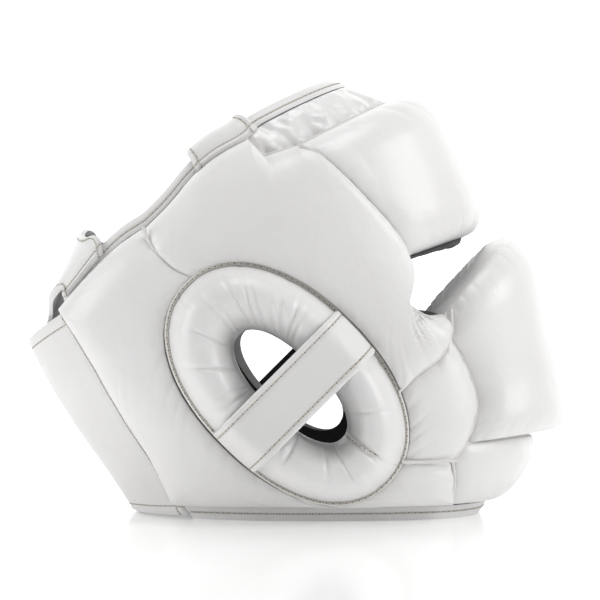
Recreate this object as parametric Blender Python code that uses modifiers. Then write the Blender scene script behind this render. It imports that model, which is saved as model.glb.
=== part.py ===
"""Full face head guard: white leather pads round a head-shaped hollow, with a padded face bar, oval ear
rings, closing straps and bound edges. Metres, +Z up, +X the way the face points.

Everything is laid out on a head form: superellipse rings stacked along the head's own axis. A place on the
form is a spot (turn, level): the angle from the front in degrees, and the height along the head's axis as a
share of HEAD_HEIGHT. A lift is the distance outward from the form. The guard stands on its flat neck edge,
which leans the head's axis back by HEAD_TILT.
"""

import math
from typing import NamedTuple

import bmesh
import bpy
import numpy as np

# The hollow for the head
HEAD_LENGTH = 0.214
HEAD_WIDTH = 0.154
HEAD_HEIGHT = 0.250
HEAD_TILT = math.radians(25.0)
NECK_DROP = 0.1063
LEVELLING_HEIGHT = 0.080
FORM_EXPONENT = 2.3

# Layers and pads
LINING_T = 0.003
LAY_GAP = 0.0006
SEAM_GAP = 0.0006
LINING_SEAM_GAP = 0.0016
SIDE_PAD_T = 0.022
TEMPLE_SWELL = 0.005
TEMPLE_SWELL_FROM = 100.0
TEMPLE_SWELL_FULL = 50.0
FOREHEAD_PAD_T = 0.0325
CHIN_PAD_T = 0.020
CROWN_PANEL_T = 0.004
BAR_REACH = 0.0475
BAR_END_T = 0.023
BAR_STANDOFF = 0.014

# Ear rings and the straps across them
RING_LENGTH = 0.146
RING_WIDTH = 0.090
EAR_HOLE_LENGTH = 0.076
EAR_HOLE_WIDTH = 0.031
RING_T = 0.036
RING_EXPONENT = 2.2
RING_FORWARD = 0.001
RING_DROP = 0.038
RING_ANGLE = math.radians(-70.0)
EAR_STRAP_WIDTH = 0.029
EAR_STRAP_OFFSET = 0.0057
EAR_STRAP_T = 0.0025
EAR_STRAP_GAP = 0.0010

# Bands and straps
RIM_BAND_HEIGHT = 0.0070
RIM_BAND_T = 0.006
NECK_BAND_HEIGHT = 0.0070
NECK_BAND_T = 0.008
REAR_STRAP_T = 0.004
REAR_STRAP_STANDOFF = 0.0035
REAR_STRAP_END_STANDOFF = 0.0014
REAR_STRAP_DROP = 0.003
REAR_STRAP_SAG = 0.004
CROWN_STRAP_WIDTH = 0.037
CROWN_STRAP_T = 0.003
REAR_CROWN_STRAP_T = 0.003
STRAP_GAP = 0.0006


class Section(NamedTuple):
    """A ring of the head form. The reaches are shares of half HEAD_LENGTH and half HEAD_WIDTH."""

    level: float
    front: float
    rear: float
    side: float


class Spot(NamedTuple):
    """A place on the head form: degrees from the front, and a share of HEAD_HEIGHT."""

    turn: float
    level: float


class Edge(NamedTuple):
    """How a pad ends at a border: the share of its thickness left there, and how far in it is full."""

    left: float
    rounding: float


class Station(NamedTuple):
    """A crosswise line of a strap: its two ends, as shares of half HEAD_LENGTH, half HEAD_WIDTH and
    HEAD_HEIGHT."""

    forward_a: float
    aside_a: float
    up_a: float
    forward_b: float
    aside_b: float
    up_b: float


class BarSlice(NamedTuple):
    """The bar's outer reach at the middle, by height: shares of its own height and of BAR_REACH."""

    height: float
    reach: float


FORM = [
    Section(-0.66, 0.34, 0.71, 0.68),
    Section(-0.58, 0.53, 0.75, 0.77),
    Section(-0.50, 0.80, 0.80, 0.84),
    Section(-0.42, 0.89, 0.85, 0.90),
    Section(-0.32, 0.935, 0.90, 0.935),
    Section(-0.18, 0.97, 0.955, 0.98),
    Section(-0.04, 0.99, 1.01, 1.00),
    Section(0.12, 1.00, 1.045, 0.985),
    Section(0.24, 1.00, 1.03, 0.93),
    Section(0.312, 0.99, 0.97, 0.857),
    Section(0.368, 0.883, 0.897, 0.78),
    Section(0.416, 0.766, 0.804, 0.675),
]

# Borders of the pads on one side, each from its first corner to its last
RIM_REAR = [Spot(148, 0.195), Spot(139, 0.224), Spot(131, 0.246), Spot(124, 0.260), Spot(114, 0.268)]
RIM_SIDE = [
    Spot(114, 0.268),
    Spot(104, 0.288),
    Spot(90, 0.320),
    Spot(78, 0.338),
    Spot(66, 0.345),
    Spot(61, 0.346),
]
RIM_FRONT = [Spot(61, 0.346), Spot(54, 0.360), Spot(44, 0.366), Spot(30, 0.370), Spot(0, 0.372)]
CROWN_SIDE = [Spot(61, 0.346), Spot(60, 0.298)]
CROWN_EDGE = [Spot(60, 0.298), Spot(54, 0.294), Spot(49.5, 0.288)]
FOREHEAD_TOP = [Spot(49.5, 0.288), Spot(35, 0.294), Spot(20, 0.299), Spot(0, 0.303)]
SEAM_FOREHEAD = [
    Spot(49.5, 0.288),
    Spot(47, 0.254),
    Spot(44.7, 0.195),
    Spot(42.4, 0.126),
    Spot(40.4, 0.069),
    Spot(39.1, 0.023),
    Spot(38.5, -0.018),
]
FOREHEAD_LOW = [Spot(38.5, -0.018), Spot(20, -0.028), Spot(0, -0.034)]
EYE_EDGE = [
    Spot(38.5, -0.018),
    Spot(43.5, -0.050),
    Spot(44.6, -0.080),
    Spot(42.4, -0.116),
    Spot(39.0, -0.145),
    Spot(33.5, -0.158),
]
BAR_END = [
    Spot(33.5, -0.158),
    Spot(34.8, -0.210),
    Spot(33.4, -0.255),
    Spot(32.6, -0.310),
    Spot(33.0, -0.350),
    Spot(36.5, -0.388),
    Spot(41.4, -0.418),
]
CHEEK_FOOT = [Spot(41.4, -0.418), Spot(46.8, -0.438)]
CHIN_SEAM = [Spot(46.8, -0.438), Spot(47.8, -0.476), Spot(50, -0.505)]
REAR_EDGE = [
    Spot(144.4, -0.290),
    Spot(143, -0.174),
    Spot(143.9, -0.055),
    Spot(144.8, 0.076),
    Spot(148, 0.195),
]
BAR_FOOT = [Spot(41.4, -0.418), Spot(28, -0.443), Spot(14, -0.462), Spot(0, -0.469)]
BAR_TOP = [Spot(33.5, -0.158), Spot(27, -0.125), Spot(20, -0.100), Spot(12, -0.078), Spot(0, -0.066)]

# Seams that run from a border in to the ear ring, without their last point, which is on the ring
SEAM_BEHIND_TEMPLE = [Spot(114, 0.268), Spot(113.5, 0.233), Spot(111.2, 0.190), Spot(108, 0.153)]
SEAM_UNDER_TEMPLE = [Spot(33.5, -0.158), Spot(36.0, -0.203), Spot(41.0, -0.236), Spot(48.6, -0.251)]
SEAM_UNDER_CHEEK = [Spot(46.8, -0.438), Spot(54.9, -0.417)]
ON_RING_BEHIND_TEMPLE = 175.0
ON_RING_UNDER_TEMPLE = 55.0
ON_RING_UNDER_CHEEK = 15.0

# The edges of the pads
FLUSH_SEAM = Edge(0.90, 0.007)
RING_SIDE = Edge(0.62, 0.010)
RIM_SIDE_EDGE = Edge(0.60, 0.026)
NECK_SIDE_EDGE = Edge(0.62, 0.020)
CROWN_SIDE_EDGE = Edge(0.45, 0.020)
EYE_SIDE_EDGE = Edge(0.62, 0.014)
CHEEK_SIDE_EDGE = Edge(0.84, 0.010)
FOREHEAD_TOP_EDGE = Edge(0.36, 0.022)
FOREHEAD_LOW_EDGE = Edge(0.60, 0.020)
THIN_EDGE = Edge(0.80, 0.006)

BAR_FACE = [
    BarSlice(0.0, 0.80),
    BarSlice(0.25, 0.82),
    BarSlice(0.5, 0.90),
    BarSlice(0.8, 1.0),
    BarSlice(1.0, 1.0),
]
BAR_BOW = 2.2
BAR_ROUNDING = 0.016
BAR_FOOT_LEFT = 0.66
BAR_TOP_LEFT = 0.74
BAR_SIDE_LEFT = 0.82
BAR_BACK_ROUNDING = 0.35

# The cross-section of each band, from its lower edge up, as shares of its thickness
RIM_BAND_SECTION = (0.85, 1.0, 0.7)
NECK_BAND_SECTION = (0.8, 1.0, 1.0)
NECK_BAND_SHORT = 1.5

# The ear ring's band from its outer edge over to the hole, and back under it
RING_OVER = (0.0, 0.03, 0.12, 0.28, 0.5, 0.72, 0.88, 0.97, 1.0)
RING_UNDER = (0.66, 0.33)
EAR_STRAP_LINES = (0.25, 0.5, 0.62, 0.72, 0.8, 0.86, 0.91, 0.955)

CROWN_STRAP_MIDDLE = 0.215
CROWN_STRAP_LIP = 0.0002
CROWN_STRAP_RISE = 0.0018
CROWN_STRAP_ARCH = 0.003

# From the near rim over to the middle, lower edge first
REAR_CROWN_STRAP_FOOT = [Spot(146.2, 0.207), Spot(131.5, 0.255)]
REAR_CROWN_STRAP_FOOT_RISE = 0.0080
REAR_CROWN_STRAP_OVER = [
    Station(-0.871, 0.665, 0.215, -0.553, 0.828, 0.297),
    Station(-0.915, 0.50, 0.190, -0.600, 0.80, 0.308),
    Station(-0.970, 0.27, 0.168, -0.590, 0.45, 0.320),
    Station(-0.990, 0.00, 0.160, -0.585, 0.00, 0.326),
]

LEATHER = ("white_leather", (0.80, 0.79, 0.77), 0.38)
SHADED_LEATHER = ("white_strap_leather", (0.76, 0.75, 0.73), 0.45)
CLOTH = ("black_lining", (0.02, 0.02, 0.02), 0.9)
RIGHT, LEFT = -1, 1

# The radius that the form is unrolled at to measure borders, as a share of HEAD_LENGTH
UNROLLED_RADIUS = 0.45


def follow(x, xs, ys):
    """A smooth curve through the points of a table, read at x."""
    xs, ys = np.asarray(xs, float), np.asarray(ys, float)
    x = np.asarray(x, float)
    slopes = np.gradient(ys, xs)
    i = np.clip(np.searchsorted(xs, x) - 1, 0, len(xs) - 2)
    step = xs[i + 1] - xs[i]
    t = (x - xs[i]) / step
    start = (2 * t**3 - 3 * t**2 + 1) * ys[i] + (t**3 - 2 * t**2 + t) * step * slopes[i]
    end = (3 * t**2 - 2 * t**3) * ys[i + 1] + (t**3 - t**2) * step * slopes[i + 1]
    return start + end


def reaches(level):
    """The form's front, rear and side reach at a level, in metres."""
    levels = [row.level for row in FORM]
    front = follow(level, levels, [row.front for row in FORM]) * HEAD_LENGTH / 2
    rear = follow(level, levels, [row.rear for row in FORM]) * HEAD_LENGTH / 2
    side = follow(level, levels, [row.side for row in FORM]) * HEAD_WIDTH / 2
    return front, rear, side


def place(turn, level, lift=0.0, hand=LEFT):
    """Points in the head's own frame, lifted off the form.

    Near the neck edge the lift runs level with the ground instead of square to the head's axis, so that
    the neck edge is flat through its whole thickness.
    """
    level, lift = np.asarray(level, float), np.asarray(lift, float)
    turn, level, lift = np.broadcast_arrays(np.radians(turn), level, lift)
    front, rear, side = reaches(level)
    length = np.where(np.cos(turn) > 0, front, rear)
    across = np.abs(np.cos(turn)) / length
    aside = np.abs(np.sin(turn)) / side
    radius = (across**FORM_EXPONENT + aside**FORM_EXPONENT) ** (-1 / FORM_EXPONENT)
    x, y = radius * np.cos(turn), radius * np.sin(turn)
    out_x = np.sign(x) * (np.abs(x) / length) ** (FORM_EXPONENT - 1) / length
    out_y = np.sign(y) * (np.abs(y) / side) ** (FORM_EXPONENT - 1) / side
    size = np.hypot(out_x, out_y)
    out_x, out_y = out_x / size, out_y / size
    z = level * HEAD_HEIGHT
    height = NECK_DROP + x * math.sin(HEAD_TILT) + z * math.cos(HEAD_TILT)
    lean = np.clip(1 - height / LEVELLING_HEIGHT, 0, 1)
    z = z - lift * out_x * math.tan(HEAD_TILT) * lean
    return np.stack([x + lift * out_x, hand * (y + lift * out_y), z], axis=-1)


def neck_level(turn, height):
    """The level at which the form is at this height above the ground."""
    turn = np.asarray(turn, float)
    level = np.full(turn.shape, -0.4)
    for _ in range(40):
        point = place(turn, level)
        now = NECK_DROP + point[..., 0] * math.sin(HEAD_TILT) + point[..., 2] * math.cos(HEAD_TILT)
        level = level + 0.8 * (height - now) / (HEAD_HEIGHT * math.cos(HEAD_TILT))
    return level


def form_turn(x, z):
    """The turn of the form's point that has this x and z."""
    front, rear, side = reaches(z / HEAD_HEIGHT)
    length = np.where(x > 0, front, rear)
    y = side * (1 - np.clip(np.abs(x) / length, 0, 0.999) ** FORM_EXPONENT) ** (1 / FORM_EXPONENT)
    return np.degrees(np.arctan2(y, x))


def run(spots, count, mirrored=False):
    """A border as count steps of even length along a smooth curve through its spots."""
    spots = np.array(spots, float)
    along = np.concatenate([[0], np.cumsum(np.linalg.norm(np.diff(spread(spots), axis=0), axis=1))])
    even = np.linspace(0, along[-1], count + 1)
    found = np.stack([follow(even, along, spots[:, 0]), follow(even, along, spots[:, 1])], axis=-1)
    if mirrored:
        found = mirror(found)[::-1]
    return found


def mirror(spots):
    """The same spots on the other side of the head."""
    return spots * np.array([-1.0, 1.0])


def spread(spots):
    """Spots as lengths in metres on the form unrolled flat, to measure borders by."""
    spots = np.asarray(spots, float)
    round_head = np.radians(spots[..., 0]) * HEAD_LENGTH * UNROLLED_RADIUS
    return np.stack([round_head, spots[..., 1] * HEAD_HEIGHT], axis=-1)


def joined(*runs):
    """Runs that follow each other as one border."""
    return np.concatenate([runs[0]] + [later[1:] for later in runs[1:]])


def shares(border):
    """How far along a border each of its points is, from 0 to 1."""
    along = np.concatenate([[0], np.cumsum(np.linalg.norm(np.diff(spread(border), axis=0), axis=1))])
    return along / along[-1]


def crowded(rows, amount=0.10):
    """Steps from 0 to 1 that are closer together near both ends."""
    even = np.linspace(0, 1, rows + 1)
    return even - amount * np.sin(2 * math.pi * even)


def resample(border, at):
    """A border read at the given shares of its length."""
    along = shares(border)
    return np.stack([np.interp(at, along, border[:, 0]), np.interp(at, along, border[:, 1])], axis=-1)


def region(first, last, start, end, steps):
    """A grid of spots between four borders: first to last across it, start and end at its sides.

    It is a Coons patch. first and last have as many points, and the sides are read at the steps.
    """
    u = shares(last)[:, None, None]
    v = steps[None, :, None]
    start, end = resample(start, v[0, :, 0])[None], resample(end, v[0, :, 0])[None]
    first, last = first[:, None], last[:, None]
    corners = (1 - u) * (1 - v) * first[:1] + u * (1 - v) * first[-1:]
    corners = corners + (1 - u) * v * last[:1] + u * v * last[-1:]
    return (1 - v) * first + v * last + (1 - u) * start + u * end - corners


def drawn_in(spots, gap, closed=False):
    """The grid with its borders drawn in by a gap, square to each border."""
    scale = spread(np.ones(2))
    flat = spots * scale
    moved = flat.copy()
    sides = [(moved[:, 0], flat[:, 0], flat[:, 1]), (moved[:, -1], flat[:, -1], flat[:, -2])]
    if not closed:
        sides += [(moved[0], flat[0], flat[1]), (moved[-1], flat[-1], flat[-2])]
    for border, now, inside in sides:
        way = inside - now
        along = np.gradient(now, axis=0)
        along = along / np.linalg.norm(along, axis=-1, keepdims=True)
        way = way - along * np.sum(way * along, axis=-1, keepdims=True)
        border += way / np.linalg.norm(way, axis=-1, keepdims=True) * gap
    return moved / scale


def border_lengths(points):
    """For each point of a grid, its distance along the grid lines to the four borders: start, end, first,
    last."""
    across = np.linalg.norm(np.diff(points, axis=0), axis=-1)
    along = np.linalg.norm(np.diff(points, axis=1), axis=-1)
    from_start = np.concatenate([np.zeros((1, points.shape[1])), np.cumsum(across, axis=0)])
    from_first = np.concatenate([np.zeros((points.shape[0], 1)), np.cumsum(along, axis=1)], axis=1)
    return from_start, from_start[-1:] - from_start, from_first, from_first[:, -1:] - from_first


def rounded(distance, rounding):
    """A quarter-round rise from 0 at the border to 1 where the pad is full."""
    t = np.clip(distance / rounding, 0, 1)
    return np.sqrt(1 - (1 - t) ** 2)


def fullness(points, start, end, first, last):
    """The share of a pad's thickness at each point of its grid, from the Edge of each border. The last
    border may be a list of (count, Edge) for its runs."""
    full = np.ones(points.shape[:2])
    edges = [start, end, first, last]
    for distance, edge in zip(border_lengths(points), edges):
        if isinstance(edge, list):
            counts = [1 + edge[0][0]] + [count for count, _ in edge[1:]]
            left = soften(np.repeat([part.left for _, part in edge], counts))[:, None]
            rounding = soften(np.repeat([part.rounding for _, part in edge], counts))[:, None]
        else:
            left, rounding = edge
        full = full * (1 - (1 - left) * (1 - rounded(distance, rounding)))
    return full


def soften(values):
    """Neighbouring values evened out, so that one run's edge eases into the next."""
    padded = np.concatenate([values[:1], values, values[-1:]])
    return (padded[:-2] + 2 * padded[1:-1] + padded[2:]) / 4


def finish(name, mesh_data, material):
    """An object from a bmesh, with faces pointing out, smooth shading and its material."""
    bmesh.ops.recalc_face_normals(mesh_data, faces=mesh_data.faces)
    mesh = bpy.data.meshes.new(name)
    mesh_data.to_mesh(mesh)
    mesh_data.free()
    mesh.shade_smooth()
    mesh.set_sharp_from_angle(angle=math.radians(45))
    mesh.materials.append(finish_material(*material))
    made = bpy.data.objects.new(name, mesh)
    PARTS.objects.link(made)
    made.parent = HEAD_FRAME


def finish_material(name, colour, roughness):
    """The Principled material of this name, made on first use."""
    found = bpy.data.materials.get(name)
    if found:
        return found
    material = bpy.data.materials.new(name)
    material.use_nodes = True
    shader = material.node_tree.nodes["Principled BSDF"]
    shader.inputs["Base Color"].default_value = (*colour, 1)
    shader.inputs["Roughness"].default_value = roughness
    return material


def laid_grid(points, closed_along=False, closed_across=False):
    """A bmesh grid laid on an array of points, with each vertex's row and column kept in a layer."""
    columns, rows = points.shape[0] - 1, points.shape[1] - 1
    grid = bmesh.new()
    bmesh.ops.create_grid(grid, x_segments=columns, y_segments=rows, size=0.5)
    layer = grid.verts.layers.float_vector.new("cell")
    for vertex in grid.verts:
        column, row = round((vertex.co.x + 0.5) * columns), round((vertex.co.y + 0.5) * rows)
        vertex[layer] = (column, row, 0)
        vertex.co = points[column, row]
    if closed_along or closed_across:
        bmesh.ops.remove_doubles(grid, verts=grid.verts, dist=1e-7)
    return grid, layer


def pad(name, inner, outer, material, closed=False):
    """A closed solid between two grids of points: the inner one laid as a grid and extruded to the outer."""
    body, layer = laid_grid(inner, closed_along=closed)
    lifted = bmesh.ops.extrude_face_region(body, geom=body.faces[:], use_keep_orig=True)["geom"]
    for vertex in lifted:
        if isinstance(vertex, bmesh.types.BMVert):
            column, row = round(vertex[layer].x), round(vertex[layer].y)
            vertex.co = outer[column, row]
    finish(name, body, material)


def strap(name, points, thickness, material, up):
    """A strap: an open grid with a Solidify wall on the side that faces up."""
    sheet, _ = laid_grid(points)
    bmesh.ops.recalc_face_normals(sheet, faces=sheet.faces)
    middle = sheet.faces[:][len(sheet.faces) // 2]
    if middle.normal.dot(up) < 0:
        bmesh.ops.reverse_faces(sheet, faces=sheet.faces)
    mesh = bpy.data.meshes.new(name)
    sheet.to_mesh(mesh)
    sheet.free()
    mesh.shade_smooth()
    mesh.materials.append(finish_material(*material))
    made = bpy.data.objects.new(name, mesh)
    PARTS.objects.link(made)
    made.parent = HEAD_FRAME
    wall = made.modifiers.new("wall", "SOLIDIFY")
    wall.thickness = thickness
    wall.offset = 1.0


def quilt(name, spots, edges, thickness, hand, material=LEATHER, floor=LINING_T + LAY_GAP):
    """A pad on the form, over a grid of spots, with its edges rounded down."""
    spots = drawn_in(spots, SEAM_GAP / 2)
    inner = place(spots[..., 0], spots[..., 1], floor, hand)
    full = fullness(inner, *edges)
    outer = place(spots[..., 0], spots[..., 1], floor + (thickness - floor) * full, hand)
    pad(name, inner, outer, material)


def on_ring(angle, length=RING_LENGTH, width=RING_WIDTH, grow=0.0):
    """x and z of the point at an angle of the ear ring's outline, or of the hole's, in the head's frame."""
    angle = np.radians(angle)
    power = 2 / RING_EXPONENT
    p = (length / 2 + grow) * np.sign(np.cos(angle)) * np.abs(np.cos(angle)) ** power
    q = (width / 2 + grow) * np.sign(np.sin(angle)) * np.abs(np.sin(angle)) ** power
    return ring_frame(p, q)


def ring_frame(p, q):
    """x and z of a point p along the ear ring and q across it."""
    x = RING_FORWARD + p * math.cos(RING_ANGLE) - q * math.sin(RING_ANGLE)
    z = -RING_DROP + p * math.sin(RING_ANGLE) + q * math.cos(RING_ANGLE)
    return x, z


def ring_spots(angles, length=RING_LENGTH, width=RING_WIDTH, grow=0.0):
    """The spots of points on the ear ring's outline."""
    x, z = on_ring(np.asarray(angles, float), length, width, grow)
    return np.stack([form_turn(x, z), z / HEAD_HEIGHT], axis=-1)


def ring_foot(x, z):
    """How far out the ear ring's foot is at x and z: on the lining."""
    level = z / HEAD_HEIGHT
    foot = place(form_turn(x, z), level)
    raised = place(form_turn(x, z), level, LINING_T + LAY_GAP)
    out_y = (raised - foot)[..., 1] / (LINING_T + LAY_GAP)
    return foot[..., 1] + (LINING_T + LAY_GAP) / out_y


def ring_crest(x, z):
    """How far out the ear ring's crest is at x and z: half flat, half following the head."""
    middle = ring_foot(np.array(RING_FORWARD), np.array(-RING_DROP))
    return RING_T + (middle + ring_foot(x, z)) / 2


def arch(t):
    """The ear ring's cross-section: 0 at both edges of the band, 1 along its middle."""
    return (1 - np.abs(2 * np.clip(t, 0, 1) - 1) ** RING_EXPONENT) ** (1 / RING_EXPONENT)


def seam_to_ring(spots, angle, count=6):
    """A seam from its border to the ear ring, as a run that starts on the ring."""
    return run([*spots, Spot(*ring_spots(angle))], count)[::-1]


def ear_ring(name, hand):
    """The padded oval round the ear, open in the middle."""
    around = np.linspace(0, 360, 37)[:, None]
    outer_x, outer_z = on_ring(around)
    hole_x, hole_z = on_ring(around, EAR_HOLE_LENGTH, EAR_HOLE_WIDTH)
    t = np.array([*RING_OVER, *RING_UNDER, 0.0])[None]
    height = np.concatenate([arch(np.array(RING_OVER)), np.zeros(len(RING_UNDER) + 1)])[None]
    x, z = outer_x + (hole_x - outer_x) * t, outer_z + (hole_z - outer_z) * t
    foot = ring_foot(x, z)
    y = foot + (ring_crest(x, z) - foot) * height
    body, _ = laid_grid(np.stack([x, hand * y, z], axis=-1), closed_along=True)
    finish(name, body, LEATHER)


def ear_strap(name, hand):
    """The flat strap across the ear ring: over its padding on both sides and straight over the hole."""
    p = EAR_STRAP_OFFSET + np.linspace(-0.5, 0.5, 4)[None] * EAR_STRAP_WIDTH
    half_outer = RING_WIDTH / 2 * (1 - np.abs(2 * p / RING_LENGTH) ** RING_EXPONENT) ** (1 / RING_EXPONENT)
    in_hole = np.clip(np.abs(2 * p / EAR_HOLE_LENGTH), 0, 1)
    half_hole = EAR_HOLE_WIDTH / 2 * (1 - in_hole**RING_EXPONENT) ** (1 / RING_EXPONENT)
    lines = np.array(EAR_STRAP_LINES)
    share = np.concatenate([-lines[::-1], [0.0], lines])[:, None]
    q = share * half_outer
    t = (half_outer - np.abs(q)) / (half_outer - half_hole)
    height = np.where(t < 0.5, arch(t), 1.0)
    x, z = ring_frame(p + 0 * q, q)
    foot = ring_foot(x, z)
    y = foot + (ring_crest(x, z) - foot) * height + EAR_STRAP_GAP
    strap(name, np.stack([x, hand * y, z], axis=-1), EAR_STRAP_T, SHADED_LEATHER, (0, hand, 0))


def neck_border(start, end, count, height=NECK_BAND_HEIGHT + LAY_GAP):
    """The border along the top of the neck band, from one turn to another."""
    turns = np.linspace(start, end, count + 1)
    return np.stack([turns, neck_level(turns, height)], axis=-1)


def side_pads(word, hand):
    """The pads of one side: the panel behind and below the ear, the temple and the cheek."""
    behind = seam_to_ring(SEAM_BEHIND_TEMPLE, ON_RING_BEHIND_TEMPLE)
    below = seam_to_ring(SEAM_UNDER_TEMPLE, ON_RING_UNDER_TEMPLE)
    foot = seam_to_ring(SEAM_UNDER_CHEEK, ON_RING_UNDER_CHEEK)
    rows = crowded(6)

    crown = joined(run(CROWN_SIDE, 1), run(CROWN_EDGE, 1))
    outer = joined(run(RIM_SIDE, 5), crown, run(SEAM_FOREHEAD, 5), run(EYE_EDGE, 4))
    angles = ON_RING_BEHIND_TEMPLE + (ON_RING_UNDER_TEMPLE - ON_RING_BEHIND_TEMPLE) * shares(outer)
    spots = region(ring_spots(angles, grow=SEAM_GAP), outer, behind, below, rows)
    edges = [(5, RIM_SIDE_EDGE), (2, CROWN_SIDE_EDGE), (5, FLUSH_SEAM), (4, EYE_SIDE_EDGE)]
    swell = np.interp(spots[..., 0], [TEMPLE_SWELL_FULL, TEMPLE_SWELL_FROM], [TEMPLE_SWELL, 0])
    edges = (FLUSH_SEAM, FLUSH_SEAM, RING_SIDE, edges)
    quilt(f"temple_pad_{word}", spots, edges, SIDE_PAD_T + swell, hand)

    outer = joined(run(BAR_END, 8), run(CHEEK_FOOT, 1))
    angles = ON_RING_UNDER_TEMPLE + (ON_RING_UNDER_CHEEK - ON_RING_UNDER_TEMPLE) * shares(outer)
    spots = region(ring_spots(angles, grow=SEAM_GAP), outer, below, foot, rows)
    edges = (FLUSH_SEAM, FLUSH_SEAM, RING_SIDE, [(8, CHEEK_SIDE_EDGE), (1, FLUSH_SEAM)])
    quilt(f"cheek_pad_{word}", spots, edges, SIDE_PAD_T, hand)

    neck = neck_border(CHIN_SEAM[-1].turn, REAR_EDGE[0].turn, 9)
    chin_seam = run(CHIN_SEAM[:-1] + [Spot(*neck[0])], 2)
    rear_edge = run([Spot(*neck[-1])] + REAR_EDGE[1:], 6)
    outer = joined(chin_seam, neck, rear_edge, run(RIM_REAR, 4))
    angles = ON_RING_UNDER_CHEEK + (ON_RING_BEHIND_TEMPLE - 360 - ON_RING_UNDER_CHEEK) * shares(outer)
    spots = region(ring_spots(angles, grow=SEAM_GAP), outer, foot, behind, rows)
    edges = [(2, FLUSH_SEAM), (9, NECK_SIDE_EDGE), (6, RIM_SIDE_EDGE), (4, RIM_SIDE_EDGE)]
    quilt(f"side_panel_{word}", spots, (FLUSH_SEAM, FLUSH_SEAM, RING_SIDE, edges), SIDE_PAD_T, hand)


def both_ways(border):
    """A border from the middle's far side through the middle: the mirrored run, then the run itself."""
    return joined(mirror(border), border[::-1])


def forehead_pad():
    """The thick pad across the forehead, between the two temple pads."""
    low, top = run(FOREHEAD_LOW, 8), run(FOREHEAD_TOP, 8)
    seam = run(SEAM_FOREHEAD, 6)[::-1]
    spots = region(both_ways(low), both_ways(top), mirror(seam), seam, crowded(8))
    middle = 1 - np.abs(spots[..., 0] / SEAM_FOREHEAD[-1].turn).clip(0, 1) ** 2
    side = SIDE_PAD_T + TEMPLE_SWELL
    thickness = side + (FOREHEAD_PAD_T - side) * middle
    edges = (FLUSH_SEAM, FLUSH_SEAM, FOREHEAD_LOW_EDGE, FOREHEAD_TOP_EDGE)
    quilt("forehead_pad", spots, edges, thickness, LEFT)


def chin_pad():
    """The pad under the bar, from cheek to cheek."""
    half = joined(run(CHEEK_FOOT[::-1], 1), run(BAR_FOOT, 6))
    low = neck_border(CHIN_SEAM[-1].turn, 0, 7)
    seam = run([Spot(*low[0])] + CHIN_SEAM[:-1][::-1], 4)
    spots = region(both_ways(low), both_ways(half), mirror(seam), seam, crowded(5))
    edges = (FLUSH_SEAM, FLUSH_SEAM, NECK_SIDE_EDGE, FLUSH_SEAM)
    quilt("chin_pad", spots, edges, CHIN_PAD_T, LEFT)


def face_bar():
    """The padded bar over the nose and mouth: it stands off the face, and its ends meet the cheeks."""
    foot, top = run(BAR_FOOT, 9), run(BAR_TOP, 9)
    end = run(BAR_END[::-1], 8)
    steps = np.linspace(0, 1, 9)
    spots = region(both_ways(foot), both_ways(top), mirror(end), end, steps)
    spots = drawn_in(spots, SEAM_GAP)
    u = np.abs(shares(spots[:, spots.shape[1] // 2]) * 2 - 1)[:, None]
    middle = 1 - u**BAR_BOW
    v = steps[None]
    face = follow(v, [row.height for row in BAR_FACE], [row.reach for row in BAR_FACE])
    front = BAR_END_T + (BAR_REACH * face - BAR_END_T) * middle
    floor = LINING_T + LAY_GAP
    back = floor + (BAR_STANDOFF - floor) * middle
    _, _, from_foot, from_top = border_lengths(place(spots[..., 0], spots[..., 1], front))
    at_foot, at_top = 1 - rounded(from_foot, BAR_ROUNDING), 1 - rounded(from_top, BAR_ROUNDING)
    thick = front - back
    ends = 1 - (1 - BAR_SIDE_LEFT) * (1 - rounded((1 - u) * HEAD_LENGTH / 2, BAR_ROUNDING))
    front = back + thick * ends * (1 - (1 - BAR_FOOT_LEFT) * at_foot) * (1 - (1 - BAR_TOP_LEFT) * at_top)
    back = back + thick * BAR_BACK_ROUNDING * middle * (at_foot + at_top)
    inner = place(spots[..., 0], spots[..., 1], back)
    outer = place(spots[..., 0], spots[..., 1], front)
    pad("face_bar", inner, outer, LEATHER)


def crown_panel():
    """The thin leather panel between the forehead pad and the rim."""
    low = joined(run(CROWN_EDGE, 2), run(FOREHEAD_TOP, 8))
    top = run(RIM_FRONT, 10)
    side = run(CROWN_SIDE[::-1], 2)
    spots = region(both_ways(low), both_ways(top), mirror(side), side, crowded(4))
    edges = (THIN_EDGE, THIN_EDGE, THIN_EDGE, THIN_EDGE)
    quilt("crown_panel", spots, edges, LINING_T + LAY_GAP + CROWN_PANEL_T, LEFT)


def rim_line(count):
    """The whole rim on one side, from the rear to the middle of the front, as spots."""
    whole = joined(run(RIM_REAR, 12), run(RIM_SIDE, 12), run(RIM_FRONT, 12))
    return resample(whole, np.linspace(0, 1, count + 1))


def rim_band():
    """The bound edge round the crown opening, from rear to rear by way of the front."""
    low = both_ways(rim_line(22)) + [0, LAY_GAP / HEAD_HEIGHT]
    high = low + [0, RIM_BAND_HEIGHT / HEAD_HEIGHT]
    spots = np.stack([low, (low + high) / 2, high], axis=1)
    inner = place(spots[..., 0], spots[..., 1], 0.0)
    outer = place(spots[..., 0], spots[..., 1], np.array([RIM_BAND_SECTION]) * RIM_BAND_T)
    pad("rim_band", inner, outer, SHADED_LEATHER)


def neck_band():
    """The bound neck edge, flat underneath: the guard stands on it."""
    end = REAR_EDGE[0].turn - NECK_BAND_SHORT
    turns = np.linspace(-end, end, 45)
    heights = np.linspace(0, NECK_BAND_HEIGHT, 3)
    spots = np.stack([np.stack([turns, neck_level(turns, height)], axis=-1) for height in heights], axis=1)
    inner = place(spots[..., 0], spots[..., 1], 0.0)
    outer = place(spots[..., 0], spots[..., 1], np.array([NECK_BAND_SECTION]) * NECK_BAND_T)
    pad("neck_band", inner, outer, SHADED_LEATHER)


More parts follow.
